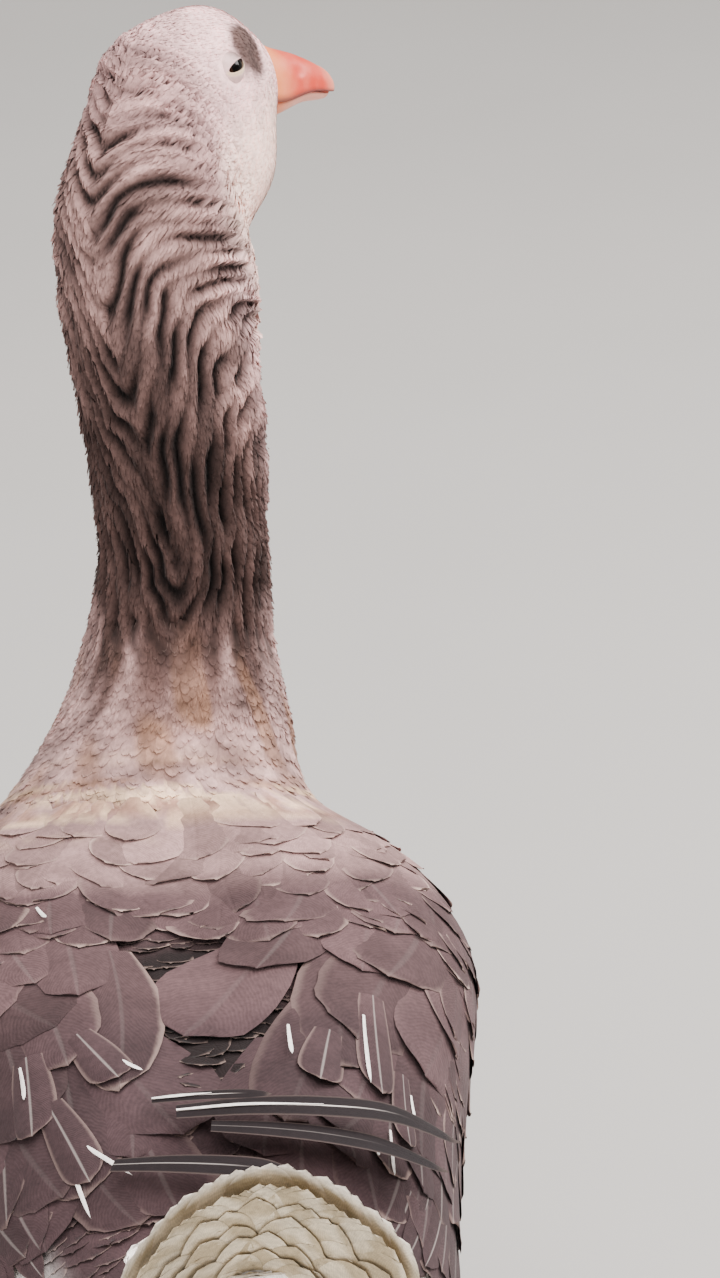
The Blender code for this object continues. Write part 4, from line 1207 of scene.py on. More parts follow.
@dataclass
class NeckCoat:
    """Narrow feathers that lie along the ridges and sink into the furrows of the neck."""

    seed: int = 8
    bands: tuple = ((4.7, 7.2), (7.2, 9.4), (9.4, 12.0))
    length: float = 0.0092
    width: float = 0.0020

    def build(self) -> list[Object]:
        """One object for each band of the neck, from the top down."""
        chance = np.random.default_rng(self.seed)
        return [self.band(chance, place, *band) for place, band in enumerate(self.bands)]

    def band(self, chance: Random, place: int, first: float, last: float) -> Object:
        """Feathers between two stations.

        Args:
            chance: Source of the seeded changes.
            place: Number of the band.
            first: Its first station.
            last: Its last station.

        Returns:
            The coat.
        """
        roots = sow(chance, first, last, *ALL_ROUND, steady(0.0028), steady(0.0017), 0.45)
        station, angle = roots[:, 0], roots[:, 1]
        count = len(station)
        dark, _ = FURROWS.parts(station, angle)
        grow = 0.60 + 0.40 * ease(4.4, 6.4, station)
        tract = Tract(
            station, angle, FURROWS.heading(station, angle) + chance.normal(0, 0.06, count),
            self.length * grow * chance.uniform(0.75, 1.2, count),
            self.width * grow * chance.uniform(0.85, 1.2, count), np.full(count, -0.0010),
            0.0001 + 0.0005 * chance.random(count) ** 3 + 0.0002 * (1 - dark),
            self.width * grow * 0.12, chance.uniform(-0.0002, 0.0003, count),
            np.clip(chance.normal(0.50, 0.08, count), 0, 1), np.full(count, 0.50), np.zeros(count),
            twist=chance.normal(0, 0.0002, count), shape=Shape.LANCE, rows=6, columns=3,
        )
        return tract.mesh(f"neck_coat_{place + 1}", FURROWS.bed)

    def dress(self, pieces: list[Object]) -> None:
        """Soft matt feather finish."""
        PlumageFinish("neck feathers", barbs=40.0, relief=0.3).lay_on(pieces, "plumage")


@dataclass
class BodyCoat:
    """Rounded contour feathers of collar, breast, flanks, belly and vent."""

    seed: int = 12
    collar_end: float = 12.9

    def build(self) -> list[Object]:
        """One object each for the collar, the breast and the rest of the body.

        Returns:
            The coats.
        """
        chance = np.random.default_rng(self.seed)
        front = sow(
            chance, 10.7, 15.6, *ALL_ROUND,
            lambda s: 0.0038 + 0.0016 * max(s - 13, 0), lambda s: 0.0040 + 0.0020 * max(s - 13, 0),
        )
        rear = sow(
            chance, 15.6, 24.4, lambda s: math.radians(-270 if s < 19.4 else -252),
            lambda s: math.radians(90 if s < 19.4 else 72),
            lambda s: 0.0100 - 0.0006 * max(s - 20, 0), lambda s: 0.0110 - 0.0008 * max(s - 20, 0),
        )
        collar = front[:, 0] < self.collar_end
        return [
            self.tract(chance, front[collar]).mesh("collar_coat"),
            self.tract(chance, front[~collar]).mesh("breast_coat"),
            self.tract(chance, rear).mesh("belly_coat"),
        ]

    def tract(self, chance: Random, roots: Array) -> Tract:
        """Feathers at the roots, larger down the body and softer towards the vent.

        Args:
            chance: Source of the seeded changes.
            roots: Stations and angles.

        Returns:
            The tract.
        """
        station, angle = roots[:, 0], roots[:, 1]
        count = len(station)
        size = 0.0075 + 0.0045 * ease(11, 13.4, station) + 0.016 * ease(13.2, 16.0, station)
        narrow = 1 - ease(12.6, 14.4, station)
        loose = ease(18.5, 21.0, station)
        untidy = bump(17.6, 2.0, station) * bump(0.0, 0.25, np.abs(FURROWS.off_back(angle)))
        return Tract(
            station, angle, chance.normal(0, 0.10 + 0.10 * loose + 0.7 * untidy, count),
            size * (1.25 + 0.45 * loose + 0.55 * narrow) * chance.uniform(0.85, 1.15, count),
            size * (0.86 - 0.30 * narrow) * chance.uniform(0.88, 1.12, count),
            np.full(count, -0.0024) + 0.0012 * narrow,
            (0.0007 + 0.0008 * chance.random(count)) * (1 - 0.75 * narrow) + 0.0016 * loose + 0.003 * untidy,
            size * 0.05, chance.uniform(-0.0004, 0.0006, count),
            np.clip(chance.normal(0.5, 0.12, count), 0, 1),
            0.52 + 0.10 * ease(13.4, 16, station) * (1 - loose) + chance.normal(0, 0.05, count),
            0.0 * station,
            shape=Shape.ROUND, rows=7, columns=5, ragged=0.14,
        )

    def dress(self, pieces: list[Object]) -> None:
        """Soft feather finish."""
        PlumageFinish("body feathers", barbs=110.0).lay_on(pieces, "plumage")


@dataclass
class Wing:
    """One folded wing: coverts, scapulars, secondaries, tertials and primaries."""

    side: Side
    seed: int = 40
    scapulars: tuple = (
        (14.5, 82, 0.058, 0.036, 3), (15.2, 78, 0.068, 0.040, 9), (16.0, 77, 0.076, 0.042, 10),
        (16.9, 75, 0.080, 0.043, 2), (17.8, 78, 0.070, 0.040, 4), (18.6, 80, 0.060, 0.036, 3),
    )

    def tiers(self) -> list[tuple]:
        """Rows of feathers from the front back, each laid over the next.

        Returns:
            For each row its station, lowest and highest angle, length, width, heading, heights of
            root and tip, rim, quill and shape, with angles in degrees.
        """
        rows = []
        for station in np.arange(13.2, 15.0, 0.24):
            size = 0.019 + 0.010 * (station - 13.2) / 1.8
            length, width = size * 1.6, size * 1.1
            rows.append((station, -14, 87, length, width, 2, -0.0014, 0.0004, 0.64, 0.0, Shape.ROUND))
        for station in np.arange(14.7, 17.0, 0.38):
            rows.append((station, -20, 34, 0.048, 0.026, 5, -0.0016, 0.0005, 0.62, 0.0, Shape.ROUND))
        for station, high, length, width, aim in self.scapulars:
            high -= 2 * self.side.value
            rows.append((station, 24, high, length, width, aim, -0.0016, 0.0010, 0.53, 0.03, Shape.BROAD))
        rows.append((16.7, -19, 26, 0.056, 0.025, 6, -0.0018, 0.0008, 0.70, 0.10, Shape.BROAD))
        rows.append((17.1, -17, 24, 0.068, 0.023, 8, -0.0018, 0.0006, 0.64, 0.15, Shape.BLADE))
        for station in (17.6, 18.3):
            rows.append((station, 4, 46, 0.072, 0.026, 6, -0.0016, 0.0010, 0.58, 0.15, Shape.BLADE))
        rows.append((18.4, 22, 38, 0.082, 0.018, 7, -0.0010, 0.0014, 0.45, 0.3, Shape.BLADE))
        return rows

    def build(self) -> Object:
        """Join every tier into one object.

        Returns:
            The wing.
        """
        chance = np.random.default_rng(self.seed + self.side.value)
        pieces = []
        for place, row in enumerate(self.tiers()):
            station, low, high, length, width, aim, root, tip, rim, quill, shape = row
            _, _, ring, _ = FLESH.frames(np.full(16, station), np.radians(np.linspace(low, high, 16)))
            girth = np.linalg.norm(ring, axis=-1).mean() * math.radians(high - low)
            count = max(int(girth / (0.62 * width)) + 1, 3)
            shift = 0.5 if place % 2 else 0.0
            angle = np.radians(low + (high - low) * (np.arange(count) + shift) / (count - 0.5))
            big = shape is not Shape.ROUND
            free = 0.3 if shape is Shape.BLADE else 1.0
            bright = 0.16 * (width < 0.03)
            tract = Tract(
                station + free * chance.uniform(-0.16, 0.16, count),
                angle + free * chance.normal(0, 0.022, count),
                np.radians(aim + free * chance.normal(0, 8, count)),
                length * (1 + free * chance.uniform(-0.20, 0.18, count)),
                width * chance.uniform(0.85, 1.12, count), np.full(count, root),
                tip + chance.uniform(-0.0004, 0.0006, count),
                np.full(count, width * 0.035), chance.uniform(-0.0010, 0.0006, count),
                np.clip(chance.normal(0.5, 0.22, count), 0, 1),
                np.clip(rim + chance.normal(0, 0.06, count) + bright * (chance.random(count) > 0.80), 0, 1),
                np.clip(quill * chance.uniform(0.3, 1.2, count), 0, 1), slide=chance.normal(0, 0.005, count),
                twist=chance.normal(0, 0.0006, count),
                shape=shape, rows=14 if big else 8, columns=9 if big else 7, ragged=0.10,
            )
            pieces.append(tract.mesh("tier", wing_bed, self.side is Side.LEFT, self.tint))
        pieces += self.loose()
        return join(f"wing_feathers_{self.side.name.lower()}", pieces)

    def loose(self) -> list[Object]:
        """Disarranged feathers over the rump: dark vanes with pale rims, and bare white shafts.

        Returns:
            The vanes and the shafts.
        """
        if self.side is Side.RIGHT:
            vanes = ((17.0, 56, -4, 0.056, 0.016), (17.9, 47, -5, 0.040, 0.012), (17.6, 66, 8, 0.034, 0.018))
            shafts = (
                (18.7, 50, -2, 0.026), (18.9, 53, 12, 0.012), (17.6, 75, -2, 0.020), (17.3, 58, -3, 0.040),
                (18.1, 44, -8, 0.018),
            )
        else:
            vanes = ((17.5, 70, 18, 0.036, 0.018), (18.3, 60, 10, 0.052, 0.018), (17.6, 58, -6, 0.044, 0.020))
            shafts = (
                (18.7, 61, 31, 0.044), (18.7, 61, 4, 0.050), (17.9, 76, 36, 0.016), (17.7, 56, -2, 0.020),
                (15.4, 68, 20, 0.012),
            )
        made = []
        for name, rows in (("loose", vanes), ("shafts", shafts)):
            station, angle, aim, length = (np.array([row[k] for row in rows], float) for k in range(4))
            bare = name == "shafts"
            width = np.full(len(rows), 0.0017) if bare else np.array([row[4] for row in rows])
            same = np.ones(len(rows))
            tract = Tract(
                station, np.radians(angle), np.radians(aim), length, width, same * 0.0016, same * 0.0034,
                width * 0.12, same * 0.0006, same * (0.8 if bare else 0.5), same * (0.5 if bare else 0.60),
                same * 0.2, shape=Shape.BLADE, rows=14, columns=9,
            )
            paint = self.white if bare else self.tint
            made.append(tract.mesh(name, wing_bed, self.side is Side.LEFT, paint))
        return made

    @staticmethod
    def white(station: Array, angle: Array) -> Array:
        """White of a bare shaft."""
        return np.broadcast_to(colour(*COAT.white), (*np.broadcast(station, angle).shape, 3))

    @staticmethod
    def tint(station: Array, angle: Array) -> Array:
        """The coat's colours on the back, taken down over the whole wing.

        Args:
            station: Stations of the places.
            angle: Their angles.

        Returns:
            Red, green and blue, in the last axis.
        """
        off = FURROWS.off_back(angle)
        near = np.sign(off) * np.clip(np.abs(off), math.radians(24), math.radians(62))
        return COAT.at(np.minimum(station, 18.4), math.pi / 2 + near)

    def dress(self, obj: Object) -> None:
        """Feather finish, and the wing node that the feathers stand for."""
        side = self.side.name.lower()
        PlumageFinish("wing feathers " + side, barbs=190.0).lay_on([obj], "wing feathers", f"wing_{side}")


def join(name: str, pieces: list[Object]) -> Object:
    """Join meshes that carry the same maps and attributes into the first one.

    Args:
        name: Name of the result.
        pieces: The meshes.

    Returns:
        The first of them.
    """
    first = pieces[0]
    first.name = name
    first.data.name = name
    with bpy.context.temp_override(active_object=first, selected_editable_objects=pieces, object=first):
        bpy.ops.object.join()
    return first


@dataclass
class FreeVane:
    """A vane along its own path in space, such as a tail feather or a crossing primary.

    The middle line is a smooth curve through the path, the vane is spread to both sides of it
    and tipped by its roll, and its edges droop by arch u^2.
    """

    path: Array
    up: Array
    width: float
    roll: float = 0.0
    arch: float = 0.0008
    tone: float = 0.5
    rim: float = 0.5
    quill: float = 0.0
    shape: Shape = Shape.BLADE
    rows: int = 22
    columns: int = 9

    def arrays(self) -> tuple[Array, Array]:
        """Grid of points and its map places.

        Returns:
            Both, rows by columns.
        """
        path = np.asarray(self.path, float)
        at = np.linspace(0, len(path) - 1, self.rows)
        line = smooth_path(path, at)
        ahead = unit(np.gradient(line, axis=0))
        side = unit(np.cross(ahead, np.asarray(self.up, float)))
        over = np.cross(side, ahead)
        c, s = math.cos(self.roll), math.sin(self.roll)
        side, over = c * side - s * over, s * side + c * over
        along = np.linspace(0, 1, self.rows)
        hand = np.linspace(-1, 1, self.columns)
        half = self.shape.widths(along) * self.width / 2
        grid = line[:, None] + side[:, None] * (half[:, None] * hand)[..., None]
        grid -= over[:, None] * (self.arch * hand**2 * np.ones((self.rows, 1)))[..., None]
        grid += ahead[:, None] * (-0.02 * self.width * hand**2 * along[:, None])[..., None]
        place = np.stack(np.broadcast_arrays(0.5 + 0.5 * hand[None], along[:, None]), -1)
        return grid, place


def smooth_path(path: Array, at: Array) -> Array:
    """Catmull-Rom curve through the points of a path, read at places counted in points.

    Args:
        path: Points of the path.
        at: Places on it.

    Returns:
        Points of the curve.
    """
    padded = np.concatenate([2 * path[:1] - path[1:2], path, 2 * path[-1:] - path[-2:-1]])
    low = np.clip(at.astype(int), 0, len(path) - 2)
    t = (at - low)[:, None]
    a, b, c, d = (padded[low + k] for k in range(4))
    return 0.5 * (2 * b + (c - a) * t + (2 * a - 5 * b + 4 * c - d) * t**2 + (3 * b - a - 3 * c + d) * t**3)


def free_vanes(
    name: str, vanes: list[FreeVane] | list[FanVane], patch: Array,
    tint: Callable[[int, Array], Array],
) -> Object:
    """One object from free vanes.

    Args:
        name: Name of the object.
        vanes: The vanes, all with the same rows and columns.
        patch: Places of their roots on the unwrap, one for each vane.
        tint: Linear colours of a vane from its place in the list and its map places.

    Returns:
        The object with its maps and attributes.
    """
    grids, places = zip(*(vane.arrays() for vane in vanes))
    rows, columns = grids[0].shape[:2]
    faces = grid_faces(rows, columns)[:, ::-1]
    each = rows * columns
    every = (faces[None] + (np.arange(len(vanes)) * each)[:, None, None]).reshape(-1, 4)
    obj = make_mesh(name, np.concatenate([grid.reshape(-1, 3) for grid in grids]), every)
    places = [place.reshape(-1, 2) for place in places]
    add_map(obj, "Vane", np.concatenate(places))
    add_map(obj, "OFBake", np.concatenate([r + (p - 0.5) * BAKE_PATCH for r, p in zip(patch, places)]))
    add_colour(obj, "Coat", np.concatenate([tint(k, place) for k, place in enumerate(places)]))
    fade = 1 - ease(0.45, 0.80, places[0][:, 1:])
    marks = [np.concatenate([np.tile([v.tone, v.rim], (each, 1)), v.quill * fade], 1) for v in vanes]
    add_colour(obj, "Marks", np.concatenate(marks))
    return obj


@dataclass
class CrossingPrimaries:
    """Long dark primaries of the left wing that lie across the back, with white shafts."""

    paths: tuple = (
        (
            (-0.013, -0.122, 0.3600), (0.016, -0.124, 0.3618), (0.046, -0.124, 0.3595),
            (0.076, -0.120, 0.3510), (0.103, -0.114, 0.3320),
        ),
        (
            (-0.022, -0.112, 0.3600), (-0.010, -0.113, 0.3612), (0.002, -0.114, 0.3620),
            (0.014, -0.115, 0.3622), (0.026, -0.116, 0.3618),
        ),
        (
            (-0.040, -0.140, 0.3480), (-0.020, -0.147, 0.3515), (0.000, -0.152, 0.3525),
            (0.016, -0.156, 0.3522), (0.030, -0.160, 0.3505),
        ),
        (
            (0.000, -0.133, 0.3590), (0.022, -0.136, 0.3580), (0.046, -0.137, 0.3540),
            (0.070, -0.136, 0.3460), (0.096, -0.131, 0.3290),
        ),
    )
    widths: tuple = (0.0160, 0.0070, 0.0150, 0.0130)
    rolls: tuple = (0.04, 0.06, 0.04, 0.04)
    quills: tuple = (1.0, 1.0, 0.3, 0.1)
    rearward: float = -0.014
    sink: float = -0.0035
    dark: tuple = (27, 20, 22)
    shaft: float = 0.0021

    def build(self) -> Object:
        """One vane for each path.

        Returns:
            The primaries.
        """
        shift = np.array([0, CENTRE_SHIFT + self.rearward, self.sink])
        vanes = [
            FreeVane(np.array(path) + shift, (0, 0, 1), width, roll, arch=0.0004, rim=0.55, quill=quill)
            for path, width, roll, quill in zip(self.paths, self.widths, self.rolls, self.quills)
        ]
        for path in self.paths[:2]:
            line = np.array(path[:3]) + shift + (0, 0, 0.0008)
            vanes.append(FreeVane(line, (0, 0, 1), self.shaft, arch=0.0002, shape=Shape.LANCE))
        patch = FLESH.unwrap(np.linspace(18.0, 18.6, len(vanes)), np.linspace(1.74, 1.78, len(vanes)))
        shades = [self.dark] * len(self.paths) + [COAT.white] * 2
        return free_vanes(
            "crossing_primaries", vanes, patch, lambda k, place: np.tile(colour(*shades[k]), (len(place), 1)),
        )

    def dress(self, obj: Object) -> None:
        """Dark feather finish with white shafts."""
        PlumageFinish("primaries", 240.0, roughness=0.6, relief=0.25).lay_on([obj], "wing feathers")


@dataclass(frozen=True)
class Fan:
    """One layer of tail feathers spread over an arched sheet.

    With u from -1 to 1 across and v from 0 to 1 along, the sheet leaves the root line at
    roots u, leans spread u to the side, and drops by 0.012 u^2 + 0.010 u^2 v + 0.003 v^2.
    """

    count: int
    length: float
    width: float
    layer: float
    fall: float
    spread: float
    roots: float
    pitch: float = math.radians(58)
    root: tuple = (0.006, -0.228, 0.3155)

    def axes(self) -> tuple[Array, Array, Array]:
        """Directions along the tail, out of its upper face and to the right."""
        c, s = math.cos(self.pitch), math.sin(self.pitch)
        return np.array([0, -c, s]), np.array([0, s, c]), np.array([1.0, 0, 0])

    def sheet(self, u: Array, v: Array) -> Array:
        """Points of the sheet.

        Args:
            u: Places across.
            v: Places along.

        Returns:
            The points.
        """
        ahead, over, side = self.axes()
        lean = math.radians(self.spread) * u
        reach = self.length * v * (1 - 0.13 * u**2)
        drop = 0.012 * u**2 + 0.010 * u**2 * v + 0.003 * v**2 + self.fall * np.sqrt(u**2 + 0.01)
        return (
            np.array(self.root) + (0, CENTRE_SHIFT, 0)
            + (self.roots * u + reach * np.sin(lean))[..., None] * side
            + (reach * np.cos(lean))[..., None] * ahead
            + (self.layer - drop)[..., None] * over
        )


@dataclass
class FanVane:
    """One feather of a fan, lying over the next one out."""

    fan: Fan
    share: float
    long: float
    tone: float
    rim: float
    quill: float = 0.0
    shape: Shape = Shape.BROAD
    rows: int = 20
    columns: int = 7

    def arrays(self) -> tuple[Array, Array]:
        """Grid of points and its map places.

        Returns:
            Both, rows by columns.
        """
        along = (1 - (1 - np.linspace(0, 1, self.rows)) ** 1.6)[:, None]
        hand = np.linspace(-1, 1, self.columns)[None, :]
        half = self.shape.widths(along) * self.fan.width / 2
        scale = self.fan.roots + self.fan.length * math.sin(math.radians(self.fan.spread)) * along
        across = self.share + hand * half / scale
        grid = self.fan.sheet(across, self.long * along * (1 - 0.02 * hand**2))
        _, over, _ = self.fan.axes()
        lap = 0.00014 * hand * (1 if self.share >= 0 else -1) - 0.00005 * hand**2
        grid = grid - over * (lap * (1 if self.fan.layer > 0 else -1))[..., None]
        return grid, np.stack(np.broadcast_arrays(0.5 + 0.5 * hand, along), -1)


@dataclass
class Tail:
    """Cocked tail: an arched fan with cream tips, and coverts that nearly reach them below."""

    seed: int = 77
    olive: tuple = (176, 160, 130)
    moss: tuple = (216, 202, 176)
    cream: tuple = (252, 244, 228)
    fans: tuple = (
        Fan(18, 0.130, 0.026, 0.0060, 0.0050, 12.5, 0.027),
        Fan(11, 0.092, 0.026, 0.0090, 0.0050, 11.0, 0.024),
        Fan(9, 0.064, 0.026, 0.0120, 0.0045, 9.0, 0.021),
        Fan(24, 0.1275, 0.024, -0.0006, 0.0046, 12.4, 0.026),
        Fan(20, 0.1180, 0.024, -0.0010, 0.0046, 12.2, 0.025),
        Fan(17, 0.1040, 0.023, -0.0014, 0.0046, 12.0, 0.024),
        Fan(16, 0.0900, 0.022, -0.0018, 0.0046, 11.5, 0.023),
        Fan(14, 0.0760, 0.021, -0.0022, 0.0044, 10.5, 0.022),
        Fan(12, 0.0600, 0.021, -0.0028, 0.0040, 9.0, 0.020),
    )

    def vanes(self) -> list[FanVane]:
        """Every vane of every fan, with small changes of length and tone.

        Returns:
            The vanes.
        """
        chance = np.random.default_rng(self.seed)
        made = []
        for fan in self.fans:
            for place in range(fan.count):
                share = 2 * (place + chance.uniform(-0.15, 0.15)) / (fan.count - 1) - 1
                tone = float(np.clip(chance.normal(0.5, 0.06), 0, 1))
                under = fan.layer < 0
                near_rim = 0.96 if fan.count == 24 else 0.74
                long = chance.uniform(near_rim, 1.0) if under else chance.uniform(0.99, 1.01)
                made.append(FanVane(fan, float(share), float(long), tone, 0.50 if under else 0.56))
        return made

    def tint(self, made: list[FanVane], place: int, spot: Array) -> Array:
        """Cream tips on the fan, and mottled olive below them and on the coverts.

        Args:
            made: Every vane.
            place: The vane's place among them.
            spot: Its map places.

        Returns:
            Linear colours.
        """
        vane = made[place]
        across = vane.share + 0.2 * (spot[:, 0] - 0.5)
        reach = vane.fan.length * vane.long * spot[:, 1]
        mottle = 0.5 + 0.6 * waves(5, 9 * across, 110 * reach) + 0.25 * waves(6, 26 * across, 300 * reach)
        olive, moss = colour(*self.olive), colour(*self.moss)
        inner = olive + ease(0.15, 0.95, mottle)[:, None] * (moss - olive)
        outer = place < self.fans[0].count
        tip = ease(0.93, 0.965, spot[:, 1] + 0.008 * waves(place, 20 * spot[:, 0])) if outer else 0.0 * mottle
        return inner + tip[:, None] * (colour(*self.cream) - inner)

    def build(self) -> Object:
        """All fans as one object.

        Returns:
            The tail.
        """
        vanes = self.vanes()
        patch = FLESH.unwrap(np.linspace(22.5, 24.9, len(vanes)), np.linspace(0, 6, len(vanes)))
        return free_vanes("tail_feathers", vanes, patch, lambda place, spot: self.tint(vanes, place, spot))

    def dress(self, obj: Object) -> None:
        """Feather finish, and the tail node that the feathers stand for."""
        PlumageFinish("tail feathers", barbs=220.0, relief=0.2).lay_on([obj], "tail feathers", "tail")


@dataclass(frozen=True)
class Thigh(Surface):
    """Feathered thigh: a round tube from inside the body, past the knee at station 1, to the shank."""

    side: Side
    last: float = 4.0
    path: tuple = (
        (0.0614, 0.0380, 0.1690), (0.0600, 0.0220, 0.1500), (0.0586, 0.0057, 0.1310),
        (0.0572, -0.0116, 0.1108), (0.0560, -0.0222, 0.1010),
    )
    radii: tuple = (0.0320, 0.0300, 0.0245, 0.0165, 0.0104)
    flesh_depth: float = 0.0014
    rows: int = 48
    seed: int = 55

    def outline(self, station: Array, angle: Array) -> Array:
        """Points of the tube at stations and angles.

        Args:
            station: Stations of the places.
            angle: Their angles.

        Returns:
            The points.
        """
        station, angle = np.broadcast_arrays(np.asarray(station, float), np.asarray(angle, float))
        path = (np.array(self.path) + (0, CENTRE_SHIFT, 0)) * (self.side.value, 1, 1)
        flat = station.ravel()
        middle = smooth_path(path, flat)
        radius = np.interp(flat, np.arange(len(self.radii)), self.radii)
        ahead = unit(smooth_path(path, flat + 0.01) - smooth_path(path, flat - 0.01))
        side = unit(np.cross(ahead, (0.0, 0.02, 1.0)))
        turn = -angle.ravel()
        ring = np.cos(turn)[:, None] * side + np.sin(turn)[:, None] * np.cross(side, ahead)
        return (middle + radius[:, None] * ring).reshape(*station.shape, 3)

    def build(self) -> list[Object]:
        """The thigh's skin and the feathers over it.

        Returns:
            The skin and the feathers.
        """
        turn = full_turn(self.rows)
        station, angle = np.meshgrid(np.linspace(0, self.last, self.rows), turn, indexing="ij")
        here, _, _, normal = self.frames(station, angle)
        name = self.side.name.lower()
        points = (here - normal * self.flesh_depth).reshape(-1, 3)
        skin = make_mesh(f"thigh_skin_{name}", points, grid_faces(self.rows, self.rows, closed=True))
        paint_skin(skin, self.tint(station, angle).reshape(-1, 3), self.unwrap(station, angle).reshape(-1, 2))
        chance = np.random.default_rng(self.seed)
        roots = sow(
            chance, 0.6, 3.9, *ALL_ROUND, steady(0.0042), lambda s: 0.0058 - 0.0008 * s, flesh=self,
        )
        station, angle = roots[:, 0], roots[:, 1]
        count = len(station)
        size = 0.0178 - 0.0028 * station
        tract = Tract(
            station, angle, chance.normal(0, 0.12, count), size * chance.uniform(0.85, 1.15, count),
            size * 0.52, np.full(count, -0.0016), 0.0005 + 0.0007 * chance.random(count), size * 0.05,
            chance.uniform(-0.0003, 0.0004, count), np.clip(chance.normal(0.5, 0.12, count), 0, 1),
            np.full(count, 0.54), np.zeros(count),
            shape=Shape.ROUND, rows=6, columns=5, ragged=0.14, flesh=self,
        )
        return [skin, tract.mesh(f"thigh_coat_{name}", coat=self.tint)]

    @staticmethod
    def tint(station: Array, angle: Array) -> Array:
        """Grey of the flank above, paler towards the shank."""
        share = ease(1.6, 3.8, station)[..., None]
        return colour(*COAT.flank) + share * (colour(*COAT.collar) - colour(*COAT.flank))

    def dress(self, pieces: list[Object]) -> None:
        """Soft feather finish, and the thigh node that the skin stands for."""
        name = self.side.name.lower()
        PlumageFinish("thigh feathers " + name, barbs=110.0).lay_on(pieces, "plumage", f"thigh_{name}")


@dataclass
class Bill:
    """Upper and lower bill with culmen, nostrils, grin line and nail."""

    length: float = 0.0500
    pitch: float = math.radians(6)
    half: float = 0.0165
    depth: float = 0.0260
    jaw: float = 0.0100
    mouth_drop: float = 0.0060
    mouth_bend: float = 0.0022
    gap: float = 0.0004
    rows: int = 90
    columns: int = 96

    def axes(self) -> tuple[Array, ...]:
        """Middle of the root, and the directions ahead, over and to the right of the bill.

        Returns:
            The point and the three directions.
        """
        root = FLESH.outline(np.zeros(4), np.radians([0, 90, 180, 270])).mean(0)
        c, s = math.cos(HEAD_YAW), math.sin(HEAD_YAW)
        turn = np.array([[c, s, 0], [-s, c, 0], [0, 0, 1]])
        ahead = turn @ (0, math.cos(self.pitch), -math.sin(self.pitch))
        over = turn @ (0, math.sin(self.pitch), math.cos(self.pitch))
        return root, ahead, over, turn @ (1.0, 0, 0)

    def build(self) -> list[Object]:
        """Both halves, each a closed grid of sections along the bill.

        Returns:
            The upper and the lower half.
        """
        places = np.array([0, 0.14, 0.3, 0.46, 0.62, 0.78, 0.9, 0.97, 1.0])
        halves = np.array([1.0, 0.97, 0.92, 0.87, 0.82, 0.76, 0.66, 0.5, 0.26])
        tops = np.array([1.0, 0.88, 0.74, 0.61, 0.50, 0.42, 0.35, 0.26, 0.1])
        v = 1 - (1 - np.linspace(0, 1, self.rows)) ** 1.5
        half = np.interp(v, places, halves)[:, None] * self.half
        top = np.interp(v, places, tops)[:, None] * self.depth
        turn = full_turn(self.columns)[None, :]
        x = half * power(np.cos(turn), 0.92)
        steep = np.abs(np.sin(turn))
        nail = 0.0012 * bump(0.96, 0.09, v)[:, None] * bump(math.pi / 2, 0.5, turn)
        pit = bump(0.42, 0.11, v)[:, None] * (bump(0.62, 0.26, turn) + bump(math.pi - 0.62, 0.26, turn))
        z = np.where(np.sin(turn) > 0, (top + nail) * power(steep, 0.86) - 0.0016 * pit, 0.0008 * steep)
        lip = 0.0007 * bump(0.0, 0.22, steep) * (1 - v[:, None])
        x = x * (1 + lip / self.half)
        drop = self.mouth_drop + self.mouth_bend * v[:, None] ** 2
        drop = drop + 0.0009 * np.sin(v[:, None] * 2.6 * math.pi)
        upper = self.shell("upper_bill_skin", self.place(v[:, None], x, z - drop), v, turn)
        deep = self.jaw * (1 - 0.62 * v[:, None] ** 1.4)
        low = np.where(np.sin(turn) < 0, -deep * steep, -0.0006 * steep)
        grid = self.place(0.94 * v[:, None], half * 0.93 * np.cos(turn), low - drop - self.gap)
        return [upper, self.shell("lower_bill_skin", grid, v, turn)]

    def place(self, v: Array, x: Array, z: Array) -> Array:
        """Points from places along the bill, across it and over it, sheared on to the face.

        Args:
            v: Places along.
            x: Distances across.
            z: Heights.

        Returns:
            The points.
        """
        root, ahead, over, side = self.axes()
        ring = FLESH.outline(np.zeros(4), np.radians([0, 90, 180, 270]))
        front = unit(np.cross(ring[1] - ring[3], ring[0] - ring[2]))
        front *= np.sign(front @ ahead)
        points = root + ahead * (self.length * v)[..., None] + side * x[..., None] + over * z[..., None]
        behind = (x[..., None] * side + z[..., None] * over) @ front / (ahead @ front)
        return points - ahead * ((behind + 0.0009) * (1 - v) ** 2)[..., None]

    def shell(self, name: str, grid: Array, v: Array, turn: Array) -> Object:
        """A closed object from a grid of sections, with its place along and round the bill as a map.

        Args:
            name: Name of the object.
            grid: Rings of points.
            v: Places along the bill, one for each ring.
            turn: Angles round it, one for each point of a ring.

        Returns:
            The object.
        """
        obj = closed_tube(name, grid, inward=True)
        place = np.stack(np.broadcast_arrays(turn / (2 * math.pi), v[:, None]), -1).reshape(-1, 2)
        add_map(obj, "Bill", np.concatenate([place, [[0.5, 0.0], [0.5, 1.0]]]))
        return obj

    def dress(self, pieces: list[Object]) -> None:
        """Waxy orange finish, paler to the nail, with a dark mouth line that is partly painted shadow, and
        painted shade at the face.
        """
        for piece, node, shade in zip(pieces, ("upper_bill", "lower_bill"), ((208, 62, 40), (238, 164, 142))):
            finish_piece(piece, BillFinish(node.replace("_", " "), shade).material(), "bill horn", node)


